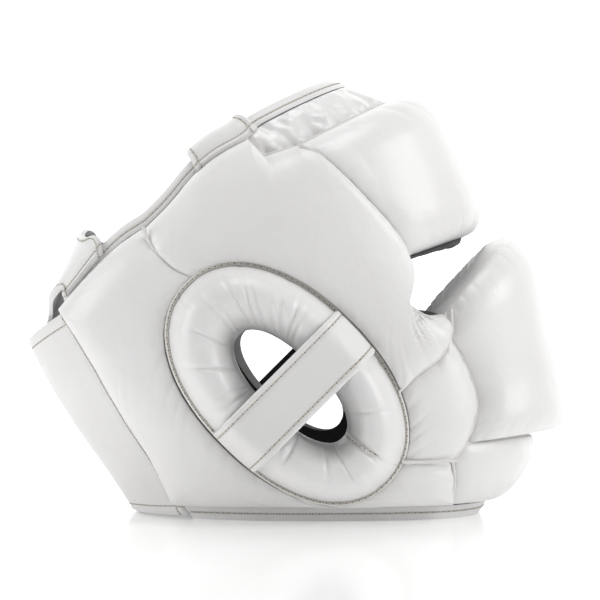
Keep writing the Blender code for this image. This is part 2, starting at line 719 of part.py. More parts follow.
def outline_round_ear():
    """The ear hole's outline and the whole outline of one side's lining, point against point."""
    neck = neck_border(CHIN_SEAM[-1].turn, REAR_EDGE[0].turn, 9)
    chin_seam = run(CHIN_SEAM[:-1] + [Spot(*neck[0])], 2)
    rear_edge = run([Spot(*neck[-1])] + REAR_EDGE[1:], 6)
    front = joined(run(CROWN_SIDE, 1), run(CROWN_EDGE, 1), run(SEAM_FOREHEAD, 6), run(EYE_EDGE, 4))
    cheek = joined(run(BAR_END, 6), run(CHEEK_FOOT, 1))
    outer = joined(rear_edge, run(RIM_REAR, 4), run(RIM_SIDE, 5), front, cheek, chin_seam, neck)
    middle = np.array([90.0, -RING_DROP / HEAD_HEIGHT])
    way = spread(outer - middle)
    bearings = np.arctan2(way[:, 1], -way[:, 0]) - RING_ANGLE
    return ring_spots(eased(bearings), EAR_HOLE_LENGTH, EAR_HOLE_WIDTH, grow=SEAM_GAP), outer


def eased(bearings):
    """Bearings round the ear, in degrees that only fall, half way to even steps."""
    falling = np.minimum.accumulate(np.degrees(np.unwrap(bearings)))
    even = np.linspace(falling[0], falling[0] - 360, len(falling))
    return (falling + even) / 2


def side_lining(word, hand):
    """The cloth lining of one side, open at the ear."""
    hole, outer = outline_round_ear()
    v = crowded(5)[None, :, None]
    spots = hole[:, None] * (1 - v) + outer[:, None] * v
    spots = drawn_in(spots, LINING_SEAM_GAP / 2, closed=True)
    spots[-1] = spots[0]
    inner = place(spots[..., 0], spots[..., 1], 0.0, hand)
    outer = place(spots[..., 0], spots[..., 1], LINING_T, hand)
    pad(f"lining_{word}", inner, outer, CLOTH, closed=True)


def front_lining():
    """The cloth lining behind the forehead pad and the crown panel."""
    low = run(FOREHEAD_LOW, 8)
    top = run(RIM_FRONT, 8)
    side = joined(run(SEAM_FOREHEAD, 6)[::-1], run(CROWN_EDGE, 1)[::-1], run(CROWN_SIDE, 1)[::-1])
    spots = region(both_ways(low), both_ways(top), mirror(side), side, shares(side))
    spots = drawn_in(spots, LINING_SEAM_GAP / 2)
    inner, outer = (place(spots[..., 0], spots[..., 1], lift) for lift in (0.0, LINING_T))
    pad("lining_front", inner, outer, CLOTH)


def chin_lining():
    """The cloth lining behind the chin pad."""
    half = joined(run(CHEEK_FOOT[::-1], 1), run(BAR_FOOT, 6))
    low = neck_border(CHIN_SEAM[-1].turn, 0, 7)
    seam = run([Spot(*low[0])] + CHIN_SEAM[:-1][::-1], 4)
    spots = region(both_ways(low), both_ways(half), mirror(seam), seam, crowded(3))
    spots = drawn_in(spots, LINING_SEAM_GAP / 2)
    inner, outer = (place(spots[..., 0], spots[..., 1], lift) for lift in (0.0, LINING_T))
    pad("lining_chin", inner, outer, CLOTH)


def rear_strap():
    """The wide closing strap across the back, from one rear edge to the other."""
    count, rows = 14, 5
    v = np.linspace(0, 1, rows + 1)[None]
    start = resample(run(REAR_EDGE, rows), v)[..., 0] + math.degrees(SEAM_GAP / (HEAD_LENGTH / 2))
    share = np.linspace(0, 1, count + 1)[:, None]
    turn = start + (360 - 2 * start) * share
    bow = np.sin(math.pi * share)
    foot = neck_level(turn, LAY_GAP + REAR_STRAP_T * math.sin(HEAD_TILT))
    top = REAR_EDGE[-1].level - (REAR_STRAP_DROP + REAR_STRAP_SAG * bow) / HEAD_HEIGHT
    level = foot + (top - foot) * v
    standoff = REAR_STRAP_END_STANDOFF + (REAR_STRAP_STANDOFF - REAR_STRAP_END_STANDOFF) * bow
    strap("rear_strap", place(turn, level, standoff), REAR_STRAP_T, SHADED_LEATHER, (-1, 0, 0))


def crown_strap():
    """The strap over the top of the head, its ends turned down over the rim band."""
    share = np.linspace(-0.5, 0.5, 4)
    forward = CROWN_STRAP_MIDDLE * HEAD_LENGTH / 2 + share * CROWN_STRAP_WIDTH
    rim = rim_line(60)
    rim_points = place(rim[:, 0], rim[:, 1])
    order = np.argsort(rim_points[:, 0])
    level = np.interp(forward, rim_points[order, 0], rim_points[order, 2]) / HEAD_HEIGHT
    top = level + (LAY_GAP + RIM_BAND_HEIGHT) / HEAD_HEIGHT
    turn = form_turn(forward, level * HEAD_HEIGHT)
    clear = RIM_BAND_T + STRAP_GAP
    low = place(turn, top - (RIM_BAND_HEIGHT - CROWN_STRAP_LIP) / HEAD_HEIGHT, clear)
    high = place(turn, top, clear)
    bend = place(turn, top + CROWN_STRAP_RISE / HEAD_HEIGHT, clear * 0.6)
    lines = [low, (low + high) / 2, high, bend]
    for inward in (0.8, 0.4, 0.0):
        line = bend.copy()
        line[:, 1] *= inward
        line[:, 2] += CROWN_STRAP_ARCH * (1 - inward**2)
        lines.append(line)
    near = np.stack(lines)
    far = near[:-1][::-1] * [1, -1, 1]
    strap("crown_strap", np.concatenate([near, far]), CROWN_STRAP_T, SHADED_LEATHER, (0, 0, 1))


def rear_crown_strap():
    """The strap over the back of the crown: its ends lie over the rim band, its middle arches across."""
    clear = RIM_BAND_T + STRAP_GAP
    across = np.linspace(0, 1, 5)
    foot = run(REAR_CROWN_STRAP_FOOT, 4)
    high = foot + [0, REAR_CROWN_STRAP_FOOT_RISE / HEAD_HEIGHT]
    lines = [place(foot[:, 0], foot[:, 1], clear), place(high[:, 0], high[:, 1], clear)]
    half = np.array([HEAD_LENGTH / 2, HEAD_WIDTH / 2, HEAD_HEIGHT])
    for row in REAR_CROWN_STRAP_OVER:
        lower, upper = np.array(row[:3]) * half, np.array(row[3:]) * half
        lines.append(lower + (upper - lower) * across[:, None])
    near = np.stack(lines)
    far = near[:-1][::-1] * [1, -1, 1]
    points = np.concatenate([near, far])
    strap("rear_crown_strap", points, REAR_CROWN_STRAP_T, SHADED_LEATHER, (-0.5, 0, 1))


def stand():
    """Leans the head frame back and centres the guard over the origin, with its neck edge on the ground."""
    HEAD_FRAME.rotation_euler = (0, -HEAD_TILT, 0)
    HEAD_FRAME.location = (0, 0, NECK_DROP)
    bpy.context.view_layer.update()
    graph = bpy.context.evaluated_depsgraph_get()
    reach = []
    for made in PARTS.objects:
        if made.type == "MESH":
            evaluated = made.evaluated_get(graph)
            reach += [(evaluated.matrix_world @ vertex.co).x for vertex in evaluated.data.vertices]
    HEAD_FRAME.location.x = -(min(reach) + max(reach)) / 2


for old in list(bpy.data.objects):
    bpy.data.objects.remove(old)
PARTS = bpy.data.collections.new("full_face_head_guard")
bpy.context.scene.collection.children.link(PARTS)
HEAD_FRAME = bpy.data.objects.new("head_frame", None)
PARTS.objects.link(HEAD_FRAME)

for side_word, side_hand in (("right", RIGHT), ("left", LEFT)):
    side_pads(side_word, side_hand)
    ear_ring(f"ear_ring_{side_word}", side_hand)
    ear_strap(f"ear_strap_{side_word}", side_hand)
    side_lining(side_word, side_hand)
forehead_pad()
chin_pad()
face_bar()
crown_panel()
front_lining()
chin_lining()
rim_band()
neck_band()
crown_strap()
rear_crown_strap()
rear_strap()
stand()
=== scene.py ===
"""The looks of a full face head guard: quilted white leather over foam, bound edges, stitched straps, a
padded face bar and a black cloth lining, on a white studio sweep. Metres, +Z up, +X the way the face points.

The pads lie on a head form. A spot on it is (turn, level): degrees from the front, and the height along the
head's own axis as a share of the form's height. A lift is a distance outward from the form.
"""

import logging
import math
from dataclasses import dataclass, field
from enum import Enum
from typing import Any, Sequence

import bmesh
import bpy
import numpy as np
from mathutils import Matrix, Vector


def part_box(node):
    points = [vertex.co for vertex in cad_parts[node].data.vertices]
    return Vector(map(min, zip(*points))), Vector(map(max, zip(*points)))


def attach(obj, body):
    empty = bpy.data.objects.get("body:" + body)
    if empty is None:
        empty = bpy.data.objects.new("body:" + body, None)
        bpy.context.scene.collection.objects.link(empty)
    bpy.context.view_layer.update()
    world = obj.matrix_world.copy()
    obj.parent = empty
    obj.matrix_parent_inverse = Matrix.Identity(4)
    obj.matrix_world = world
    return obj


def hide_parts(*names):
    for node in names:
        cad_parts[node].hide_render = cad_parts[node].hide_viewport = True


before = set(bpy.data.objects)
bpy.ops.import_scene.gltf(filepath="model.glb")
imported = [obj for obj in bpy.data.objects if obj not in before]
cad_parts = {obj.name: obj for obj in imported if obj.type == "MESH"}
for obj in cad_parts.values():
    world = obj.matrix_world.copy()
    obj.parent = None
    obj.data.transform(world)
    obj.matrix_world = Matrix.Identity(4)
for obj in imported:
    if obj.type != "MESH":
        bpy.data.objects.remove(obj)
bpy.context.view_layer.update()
BODY = "root"

LOG = logging.getLogger("head_guard")

Array = np.ndarray
Material = bpy.types.Material
Piece = bpy.types.Object
Spot = tuple[float, float]
Spots = Sequence[Spot]
Table = Sequence[float]


class Hand(Enum):
    """The wearer's side that a piece is on."""

    RIGHT = -1
    LEFT = 1

    @property
    def word(self) -> str:
        """The side as a node's name has it."""
        return self.name.lower()


class Slot(Enum):
    """The record's material slots."""

    PAD = "white_leather"
    STRAP = "white_strap_leather"
    LINING = "black_lining"


def follow(x: Array, xs: Sequence[float], ys: Sequence[float]) -> Array:
    """A smooth curve through the points of a table.

    Args:
        x: where the curve is read.
        xs: the table's places, rising.
        ys: the table's values.

    Returns:
        The curve's values at x.
    """
    xs, ys, x = np.asarray(xs, float), np.asarray(ys, float), np.asarray(x, float)
    slopes = np.gradient(ys, xs)
    i = np.clip(np.searchsorted(xs, x) - 1, 0, len(xs) - 2)
    step = xs[i + 1] - xs[i]
    t = (x - xs[i]) / step
    start = (2 * t**3 - 3 * t**2 + 1) * ys[i] + (t**3 - 2 * t**2 + t) * step * slopes[i]
    end = (3 * t**2 - 2 * t**3) * ys[i + 1] + (t**3 - t**2) * step * slopes[i + 1]
    return start + end


@dataclass(frozen=True)
class HeadForm:
    """The head-shaped hollow that every pad is laid on: superellipse rings along the head's axis."""

    length: float = 0.214
    width: float = 0.154
    height: float = 0.250
    tilt: float = math.radians(25.0)
    neck_drop: float = 0.1063
    levelling: float = 0.080
    exponent: float = 2.3
    unrolled_radius: float = 0.45
    levels: Table = (-0.66, -0.58, -0.50, -0.42, -0.32, -0.18, -0.04, 0.12, 0.24, 0.312, 0.368, 0.416)
    front: Table = (0.34, 0.53, 0.80, 0.89, 0.935, 0.97, 0.99, 1.00, 1.00, 0.99, 0.883, 0.766)
    rear: Table = (0.71, 0.75, 0.80, 0.85, 0.90, 0.955, 1.01, 1.045, 1.03, 0.97, 0.897, 0.804)
    side: Table = (0.68, 0.77, 0.84, 0.90, 0.935, 0.98, 1.00, 0.985, 0.93, 0.857, 0.78, 0.675)

    def reaches(self, level: Array) -> tuple[Array, Array, Array]:
        """The form's front, rear and side reach at a level."""
        front = follow(level, self.levels, self.front) * self.length / 2
        rear = follow(level, self.levels, self.rear) * self.length / 2
        side = follow(level, self.levels, self.side) * self.width / 2
        return front, rear, side

    def place(self, turn: Array, level: Array, lift: Array | float = 0.0, hand: Hand = Hand.LEFT) -> Array:
        """Points in the head's own frame, lifted off the form.

        Near the neck edge the lift runs level with the ground, so that the neck edge is flat.

        Args:
            turn: degrees from the front.
            level: shares of the form's height.
            lift: distances outward.
            hand: the side that positive turns are on.

        Returns:
            An array of points, with x, y, z last.
        """
        level, lift = np.asarray(level, float), np.asarray(lift, float)
        turn, level, lift = np.broadcast_arrays(np.radians(turn), level, lift)
        front, rear, side = self.reaches(level)
        length = np.where(np.cos(turn) > 0, front, rear)
        across, aside = np.abs(np.cos(turn)) / length, np.abs(np.sin(turn)) / side
        radius = (across**self.exponent + aside**self.exponent) ** (-1 / self.exponent)
        x, y = radius * np.cos(turn), radius * np.sin(turn)
        out_x = np.sign(x) * (np.abs(x) / length) ** (self.exponent - 1) / length
        out_y = np.sign(y) * (np.abs(y) / side) ** (self.exponent - 1) / side
        size = np.hypot(out_x, out_y)
        out_x, out_y = out_x / size, out_y / size
        z = level * self.height
        above = self.neck_drop + x * math.sin(self.tilt) + z * math.cos(self.tilt)
        lean = np.clip(1 - above / self.levelling, 0, 1)
        z = z - lift * out_x * math.tan(self.tilt) * lean
        return np.stack([x + lift * out_x, hand.value * (y + lift * out_y), z], axis=-1)

    def neck_level(self, turn: Array, height: Array | float) -> Array:
        """The level at which the form is at this height above the ground."""
        turn = np.asarray(turn, float)
        level = np.full(np.broadcast(turn, height).shape, -0.4)
        for _ in range(40):
            point = self.place(turn, level)
            above = self.neck_drop + point[..., 0] * math.sin(self.tilt) + point[..., 2] * math.cos(self.tilt)
            level = level + 0.8 * (height - above) / (self.height * math.cos(self.tilt))
        return level

    def turn_at(self, x: Array, z: Array) -> Array:
        """The turn of the form's point that has this x and z."""
        front, rear, side = self.reaches(z / self.height)
        length = np.where(x > 0, front, rear)
        y = side * (1 - np.clip(np.abs(x) / length, 0, 0.999) ** self.exponent) ** (1 / self.exponent)
        return np.degrees(np.arctan2(y, x))

    def unrolled(self, spots: Array) -> Array:
        """Spots as lengths on the form unrolled flat."""
        spots = np.asarray(spots, float)
        around = np.radians(spots[..., 0]) * self.length * self.unrolled_radius
        return np.stack([around, spots[..., 1] * self.height], axis=-1)

    def standing(self, points: Array, forward: float) -> Array:
        """Points of the head's frame leaned back onto the ground, at this place along X."""
        x, y, z = points[..., 0], points[..., 1], points[..., 2]
        ahead = forward + x * math.cos(self.tilt) - z * math.sin(self.tilt)
        up = self.neck_drop + x * math.sin(self.tilt) + z * math.cos(self.tilt)
        return np.stack([ahead, y, up], axis=-1)


FORM = HeadForm()


@dataclass(frozen=True)
class Sizes:
    """The layers, bands and straps, as the construction has them."""

    lining: float = 0.003
    lay_gap: float = 0.0006
    seam_gap: float = 0.0005
    side_pad: float = 0.022
    temple_swell: float = 0.005
    temple_swell_from: float = 100.0
    temple_swell_full: float = 50.0
    forehead_pad: float = 0.0325
    chin_pad: float = 0.020
    crown_panel: float = 0.004
    rim_band_height: float = 0.0070
    rim_band: float = 0.006
    neck_band_height: float = 0.0070
    neck_band: float = 0.008
    neck_band_short: float = 1.5

    @property
    def floor(self) -> float:
        """The lift of a pad's back, on the lining."""
        return self.lining + self.lay_gap


SIZES = Sizes()


def settled() -> float:
    """Where the head's frame stands along X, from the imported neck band."""
    heights = np.linspace(0, SIZES.neck_band_height, 3)
    lift = np.array([0.8, 1.0, 1.0]) * SIZES.neck_band
    front = FORM.place(0.0, FORM.neck_level(np.zeros(3), heights), lift)
    return float(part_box("neck_band")[1][0] - FORM.standing(front, 0.0)[..., 0].max())


FORWARD = settled()
# How far from the ear oval the pads still lean towards it.
RING_LEAN = 0.032


@dataclass(frozen=True)
class Borders:
    """The borders of the pads on one side, each from its first spot to its last."""

    rim_rear: Spots = ((148, 0.195), (139, 0.224), (131, 0.246), (124, 0.260), (114, 0.268))
    rim_side: Spots = ((114, 0.268), (104, 0.288), (90, 0.320), (78, 0.338), (66, 0.345), (61, 0.346))
    rim_front: Spots = ((61, 0.346), (54, 0.360), (44, 0.366), (30, 0.370), (0, 0.372))
    crown_side: Spots = ((61, 0.346), (60, 0.298))
    crown_edge: Spots = ((60, 0.298), (54, 0.294), (49.5, 0.288))
    forehead_top: Spots = ((49.5, 0.288), (35, 0.294), (20, 0.299), (0, 0.303))
    forehead_seam: Spots = (
        (49.5, 0.288),
        (47, 0.254),
        (44.7, 0.195),
        (42.4, 0.126),
        (40.4, 0.069),
        (39.1, 0.023),
        (38.5, -0.018),
    )
    forehead_low: Spots = ((38.5, -0.018), (20, -0.028), (0, -0.034))
    eye_edge: Spots = (
        (38.5, -0.018),
        (43.5, -0.050),
        (44.6, -0.080),
        (42.4, -0.116),
        (39.0, -0.145),
        (33.5, -0.158),
    )
    bar_end: Spots = (
        (33.5, -0.158),
        (34.8, -0.210),
        (33.4, -0.255),
        (32.6, -0.310),
        (33.0, -0.350),
        (36.5, -0.388),
        (41.4, -0.418),
    )
    cheek_foot: Spots = ((41.4, -0.418), (46.8, -0.438))
    chin_seam: Spots = ((46.8, -0.438), (47.8, -0.476), (50, -0.505))
    rear_edge: Spots = ((144.4, -0.290), (143, -0.174), (143.9, -0.055), (144.8, 0.076), (148, 0.195))
    bar_foot: Spots = ((41.4, -0.418), (28, -0.443), (14, -0.462), (0, -0.469))
    bar_top: Spots = ((33.5, -0.158), (27, -0.125), (20, -0.100), (12, -0.078), (0, -0.066))
    behind_temple: Spots = ((114, 0.268), (113.5, 0.233), (111.2, 0.190), (108, 0.153))
    under_temple: Spots = ((33.5, -0.158), (36.0, -0.203), (41.0, -0.236), (48.6, -0.251))
    under_cheek: Spots = ((46.8, -0.438), (54.9, -0.417))


BORDERS = Borders()


def run(spots: Spots, step: float = 0.0013, count: int | None = None) -> Array:
    """A border as even steps along a smooth curve through its spots.

    Args:
        spots: the border's spots, in order.
        step: the length of a step, in metres.
        count: the number of steps, where it is set.

    Returns:
        Spots, one more than the steps.
    """
    table = np.array(spots, float)
    along = np.concatenate([[0], np.cumsum(np.linalg.norm(np.diff(FORM.unrolled(table), axis=0), axis=1))])
    steps = count or max(3, round(along[-1] / step))
    even = np.linspace(0, along[-1], steps + 1)
    return np.stack([follow(even, along, table[:, 0]), follow(even, along, table[:, 1])], axis=-1)


def mirrored(border: Array) -> Array:
    """The same spots on the other side of the head."""
    return border * np.array([-1.0, 1.0])


def joined(*runs: Array) -> Array:
    """Runs that follow each other as one border."""
    return np.concatenate([runs[0]] + [later[1:] for later in runs[1:]])


def both_ways(border: Array) -> Array:
    """A border that ends in the middle, and its mirror image after it, from the far side to this one."""
    return joined(mirrored(border), border[::-1])


def shares(border: Array) -> Array:
    """How far along a border each of its points is, from 0 to 1."""
    along = np.concatenate([[0], np.cumsum(np.linalg.norm(np.diff(FORM.unrolled(border), axis=0), axis=1))])
    return along / along[-1]


def resample(border: Array, at: Array) -> Array:
    """A border read at the given shares of its length."""
    along = shares(border)
    return np.stack([np.interp(at, along, border[:, 0]), np.interp(at, along, border[:, 1])], axis=-1)


def crowded(rows: int, amount: float = 0.10) -> Array:
    """Steps from 0 to 1 that are closer together near both ends."""
    even = np.linspace(0, 1, rows + 1)
    return even - amount * np.sin(2 * math.pi * even)


def region(first: Array, last: Array, start: Array, end: Array, steps: Array) -> Array:
    """A grid of spots between four borders, as a Coons patch.

    Args:
        first, last: the borders that the columns run between, with as many points.
        start, end: the borders of the first and the last column.
        steps: the rows, as shares of the way from first to last.

    Returns:
        Spots by column and row.
    """
    u, v = shares(last)[:, None, None], steps[None, :, None]
    start, end = resample(start, steps)[None], resample(end, steps)[None]
    first, last = first[:, None], last[:, None]
    corners = (1 - u) * (1 - v) * first[:1] + u * (1 - v) * first[-1:]
    corners = corners + (1 - u) * v * last[:1] + u * v * last[-1:]
    return (1 - v) * first + v * last + (1 - u) * start + u * end - corners


def drawn_in(spots: Array, gap: float, closed: bool = False) -> Array:
    """The grid with its borders drawn in by a gap, square to each border.

    Args:
        spots: a grid of spots.
        gap: how far the borders move in, in metres.
        closed: whether the grid runs round and meets itself.

    Returns:
        The new grid.
    """
    scale = FORM.unrolled(np.ones(2))
    flat = spots * scale
    moved = flat.copy()
    sides = [(moved[:, 0], flat[:, 0], flat[:, 1]), (moved[:, -1], flat[:, -1], flat[:, -2])]
    if not closed:
        sides += [(moved[0], flat[0], flat[1]), (moved[-1], flat[-1], flat[-2])]
    for border, now, inside in sides:
        way = inside - now
        along = np.gradient(now, axis=0)
        along = along / np.linalg.norm(along, axis=-1, keepdims=True)
        way = way - along * np.sum(way * along, axis=-1, keepdims=True)
        border += way / np.linalg.norm(way, axis=-1, keepdims=True) * gap
    return moved / scale


def eased(values: Array, passes: int = 34) -> Array:
    """Neighbouring values evened out, so that one run's hem eases into the next."""
    for _ in range(passes):
        wide = np.concatenate([values[:1], values, values[-1:]])
        values = (wide[:-2] + 2 * wide[1:-1] + wide[2:]) / 4
    return values


@dataclass(frozen=True)
class Hem:
    """How a pad ends at a border: the share of its thickness left there, and how far in it is full."""

    left: float
    rounding: float


FLUSH = Hem(0.86, 0.009)
AT_RING = Hem(0.84, 0.007)
AT_RIM = Hem(0.34, 0.024)
AT_NECK = Hem(0.55, 0.022)
AT_CROWN = Hem(0.42, 0.020)
AT_EYE = Hem(0.50, 0.016)
AT_BAR = Hem(0.74, 0.013)
AT_FOREHEAD_TOP = Hem(0.36, 0.022)
AT_FOREHEAD_LOW = Hem(0.52, 0.022)
SOFT = Hem(0.68, 0.020)
AT_PANEL = Hem(0.70, 0.007)


class Noise:
    """Smooth random values over space, the same each run."""

    def __init__(self, seed: int, cells: int = 32) -> None:
        """Draws the lattice's values."""
        self.cells = cells
        self.table = np.random.default_rng(seed).uniform(-1, 1, (cells, cells, cells))

    def at(self, points: Array, size: float) -> Array:
        """The value at each point, with lattice cells of this size.

        Args:
            points: places, with x, y, z last.
            size: the lattice's step.

        Returns:
            Values from -1 to 1.
        """
        place = np.asarray(points, float) / size
        low = np.floor(place).astype(int)
        part = place - low
        part = part * part * (3 - 2 * part)
        total = np.zeros(place.shape[:-1])
        for corner in np.ndindex(2, 2, 2):
            near = (low + corner) % self.cells
            weight = np.prod(np.where(np.array(corner) == 1, part, 1 - part), axis=-1)
            total += weight * self.table[near[..., 0], near[..., 1], near[..., 2]]
        return total


class Side(Enum):
    """The four borders of a pad's grid."""

    START = 0
    END = 1
    FIRST = 2
    LAST = 3


@dataclass(frozen=True)
class Pucker:
    """Small folds that run in from a seam, where the thread gathers the leather."""

    side: Side
    depth: float = 0.0008
    reach: float = 0.010
    spacing: float = 0.009
    span: tuple[float, float] = (0.0, 1.0)
    seed: int = 1

    def dip(self, along: Array, share: Array, distance: Array) -> Array:
        """How far the folds sink the leather.

        Args:
            along: the length along the seam, in metres.
            share: the same as a share of the seam.
            distance: how far in from the seam each point is.

        Returns:
            Depths in metres, 0 away from the seam.
        """
        noise = Noise(self.seed)
        line = np.stack([along, distance * 0.35, np.zeros_like(along)], axis=-1)
        phase = along / self.spacing + 0.55 * noise.at(line, self.spacing * 1.6)
        strength = 0.55 + 0.45 * noise.at(line + 0.7, self.spacing * 2.3)
        fold = (0.5 + 0.5 * np.cos(2 * math.pi * phase)) ** 5
        reach = self.reach * (0.7 + 0.5 * noise.at(line + 1.3, self.spacing * 1.9))
        low, high = self.span
        inside = np.clip((share - low) / 0.06, 0, 1) * np.clip((high - share) / 0.06, 0, 1)
        if low <= 0 and high >= 1:
            inside = 1.0
        fade = np.exp(-((distance / np.maximum(reach, 1e-4)) ** 1.4))
        return 1.5 * self.depth * fold * strength * inside * fade


def lengths_to_borders(points: Array) -> list[Array]:
    """The distance along the grid lines from each point to the start, end, first and last border."""
    across = np.linalg.norm(np.diff(points, axis=0), axis=-1)
    along = np.linalg.norm(np.diff(points, axis=1), axis=-1)
    from_start = np.concatenate([np.zeros((1, points.shape[1])), np.cumsum(across, axis=0)])
    from_first = np.concatenate([np.zeros((points.shape[0], 1)), np.cumsum(along, axis=1)], axis=1)
    return [from_start, from_start[-1:] - from_start, from_first, from_first[:, -1:] - from_first]


def rounded(distance: Array, rounding: Array | float) -> Array:
    """A quarter-round rise from 0 at the border to 1 where the pad is full."""
    t = np.clip(distance / rounding, 0, 1)
    return np.sqrt(np.maximum(1 - (1 - t) ** 2, 0))


def laid(points: Array, closed: bool = False) -> tuple[bmesh.types.BMesh, Any]:
    """A bmesh grid laid on an array of points, with each vertex's column and row kept in a layer.

    Args:
        points: where the grid's corners lie, by column and row.
        closed: whether corners that meet are merged.

    Returns:
        The bmesh and its layer.
    """
    columns, rows = points.shape[0] - 1, points.shape[1] - 1
    grid = bmesh.new()
    bmesh.ops.create_grid(grid, x_segments=columns, y_segments=rows, size=0.5)
    layer = grid.verts.layers.float_vector.new("cell")
    for vertex in grid.verts:
        column, row = round((vertex.co.x + 0.5) * columns), round((vertex.co.y + 0.5) * rows)
        vertex[layer] = (column, row, 0)
        vertex.co = points[column, row]
    if closed:
        bmesh.ops.remove_doubles(grid, verts=grid.verts, dist=1e-7)
    return grid, layer


def as_object(name: str, body: bmesh.types.BMesh, material: Material, crease: float = 50.0) -> Piece:
    """An object from a bmesh, with faces pointing out and smooth shading.

    Args:
        name: the object's name.
        body: its mesh, which is freed here.
        material: its finish.
        crease: the angle in degrees above which an edge stays sharp.

    Returns:
        The object, linked to the scene.
    """
    bmesh.ops.recalc_face_normals(body, faces=body.faces)
    mesh = bpy.data.meshes.new(name)
    body.to_mesh(mesh)
    body.free()
    mesh.shade_smooth()
    mesh.set_sharp_from_angle(angle=math.radians(crease))
    mesh.materials.append(material)
    made = bpy.data.objects.new(name, mesh)
    bpy.context.scene.collection.objects.link(made)
    return made


def shell(name: str, inner: Array, outer: Array, material: Material, closed: bool = False) -> Piece:
    """A closed skin between two grids of points: the inner one laid as a grid and extruded to the outer.

    Args:
        name: the object's name.
        inner, outer: the two grids, with as many points.
        material: its finish.
        closed: whether the grids run round and meet themselves.

    Returns:
        The object.
    """
    body, layer = laid(inner, closed)
    lifted = bmesh.ops.extrude_face_region(body, geom=body.faces[:], use_keep_orig=True)["geom"]
    for vertex in lifted:
        if isinstance(vertex, bmesh.types.BMVert):
            vertex.co = outer[round(vertex[layer].x), round(vertex[layer].y)]
    return as_object(name, body, material)


def report(piece: Piece, nodes: Sequence[str] = ()) -> None:
    """Fastens a finished piece to the frame and logs it.

    Args:
        piece: the finished object, at the origin.
        nodes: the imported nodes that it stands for.
    """
    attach(piece, BODY)
    if nodes:
        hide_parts(*nodes)
    LOG.info("%s: %d faces", piece.name, len(piece.data.polygons))


class Wire:
    """A shader socket that takes part in sums: an expression on values adds its Math nodes."""

    def __init__(self, bench: "Bench", socket: bpy.types.NodeSocket) -> None:
        """Wraps a socket of the bench's material."""
        self.bench = bench
        self.socket = socket

    def sum_with(self, operation: str, other: "Wire | float") -> "Wire":
        """A Math node on this value and another."""
        return self.bench.node("ShaderNodeMath", {"operation": operation}, {0: self, 1: other})

    def __add__(self, other: "Wire | float") -> "Wire":
        """This value plus another."""
        return self.sum_with("ADD", other)

    __radd__ = __add__

    def __mul__(self, other: "Wire | float") -> "Wire":
        """This value times another."""
        return self.sum_with("MULTIPLY", other)

    __rmul__ = __mul__


class Bench:
    """A material being made: it holds the node tree and the shader."""

    def __init__(self, name: str) -> None:
        """Starts a material with a Principled shader."""
        self.material = bpy.data.materials.new(name)
        self.material.use_nodes = True
        self.tree = self.material.node_tree
        self.shader = self.tree.nodes["Principled BSDF"]
        self.place = self.node("ShaderNodeTexCoord", output="Object")

    def node(
        self,
        kind: str,
        settings: dict[str, Any] | None = None,
        inputs: dict[Any, Any] | None = None,
        output: Any = 0,
    ) -> Wire:
        """Adds a node.

        Args:
            kind: the node's type.
            settings: its own settings, set first.
            inputs: values or wires by socket name or number.
            output: the socket that is wanted.

        Returns:
            The wanted output, wrapped.
        """
        made = self.tree.nodes.new(kind)
        for key, value in (settings or {}).items():
            setattr(made, key, value)
        for key, value in (inputs or {}).items():
            if isinstance(value, Wire):
                self.tree.links.new(value.socket, made.inputs[key])
            else:
                made.inputs[key].default_value = value
        return Wire(self, made.outputs[output])

    def noise(self, size: float, detail: float, roughness: float = 0.55, distortion: float = 0) -> Wire:
        """Noise over the object, with features of this size in metres."""
        inputs = {"Vector": self.place, "Scale": 1 / size, "Detail": detail, "Roughness": roughness}
        inputs["Distortion"] = distortion
        return self.node("ShaderNodeTexNoise", inputs=inputs)

    def cells(self, size: float, feature: str = "F1") -> Wire:
        """The distance to the nearest of scattered points, this far apart in metres."""
        inputs = {"Vector": self.place, "Scale": 1 / size}
        return self.node("ShaderNodeTexVoronoi", {"feature": feature}, inputs, "Distance")

    def blend(self, share: Wire, low: Sequence[float], high: Sequence[float]) -> Wire:
        """A colour between two, by a share."""
        inputs = {0: share, 6: (*low, 1.0), 7: (*high, 1.0)}
        return self.node("ShaderNodeMix", {"data_type": "RGBA"}, inputs, output=2)

    def ramp(self, value: Wire, low: float, high: float) -> Wire:
        """The value stretched from low..high to 0..1, and held there."""
        inputs = {"Value": value, "From Min": low, "From Max": high}
        return self.node("ShaderNodeMapRange", {"clamp": True}, inputs)

    def bump(self, height: Wire, depth: float, under: Wire | None = None) -> Wire:
        """A Bump node for a height, this many metres deep."""
        inputs: dict[str, Any] = {"Height": height, "Strength": 1.0, "Distance": depth}
        if under:
            inputs["Normal"] = under
        return self.node("ShaderNodeBump", inputs=inputs)

    def feed(self, socket: str, wire: Wire) -> None:
        """Links a wire to a socket of the shader."""
        self.tree.links.new(wire.socket, self.shader.inputs[socket])

    def constant(self, **values: Any) -> None:
        """Sets the shader's own sockets, with spaces written as underscores."""
        for key, value in values.items():
            self.shader.inputs[key.replace("_", " ")].default_value = value


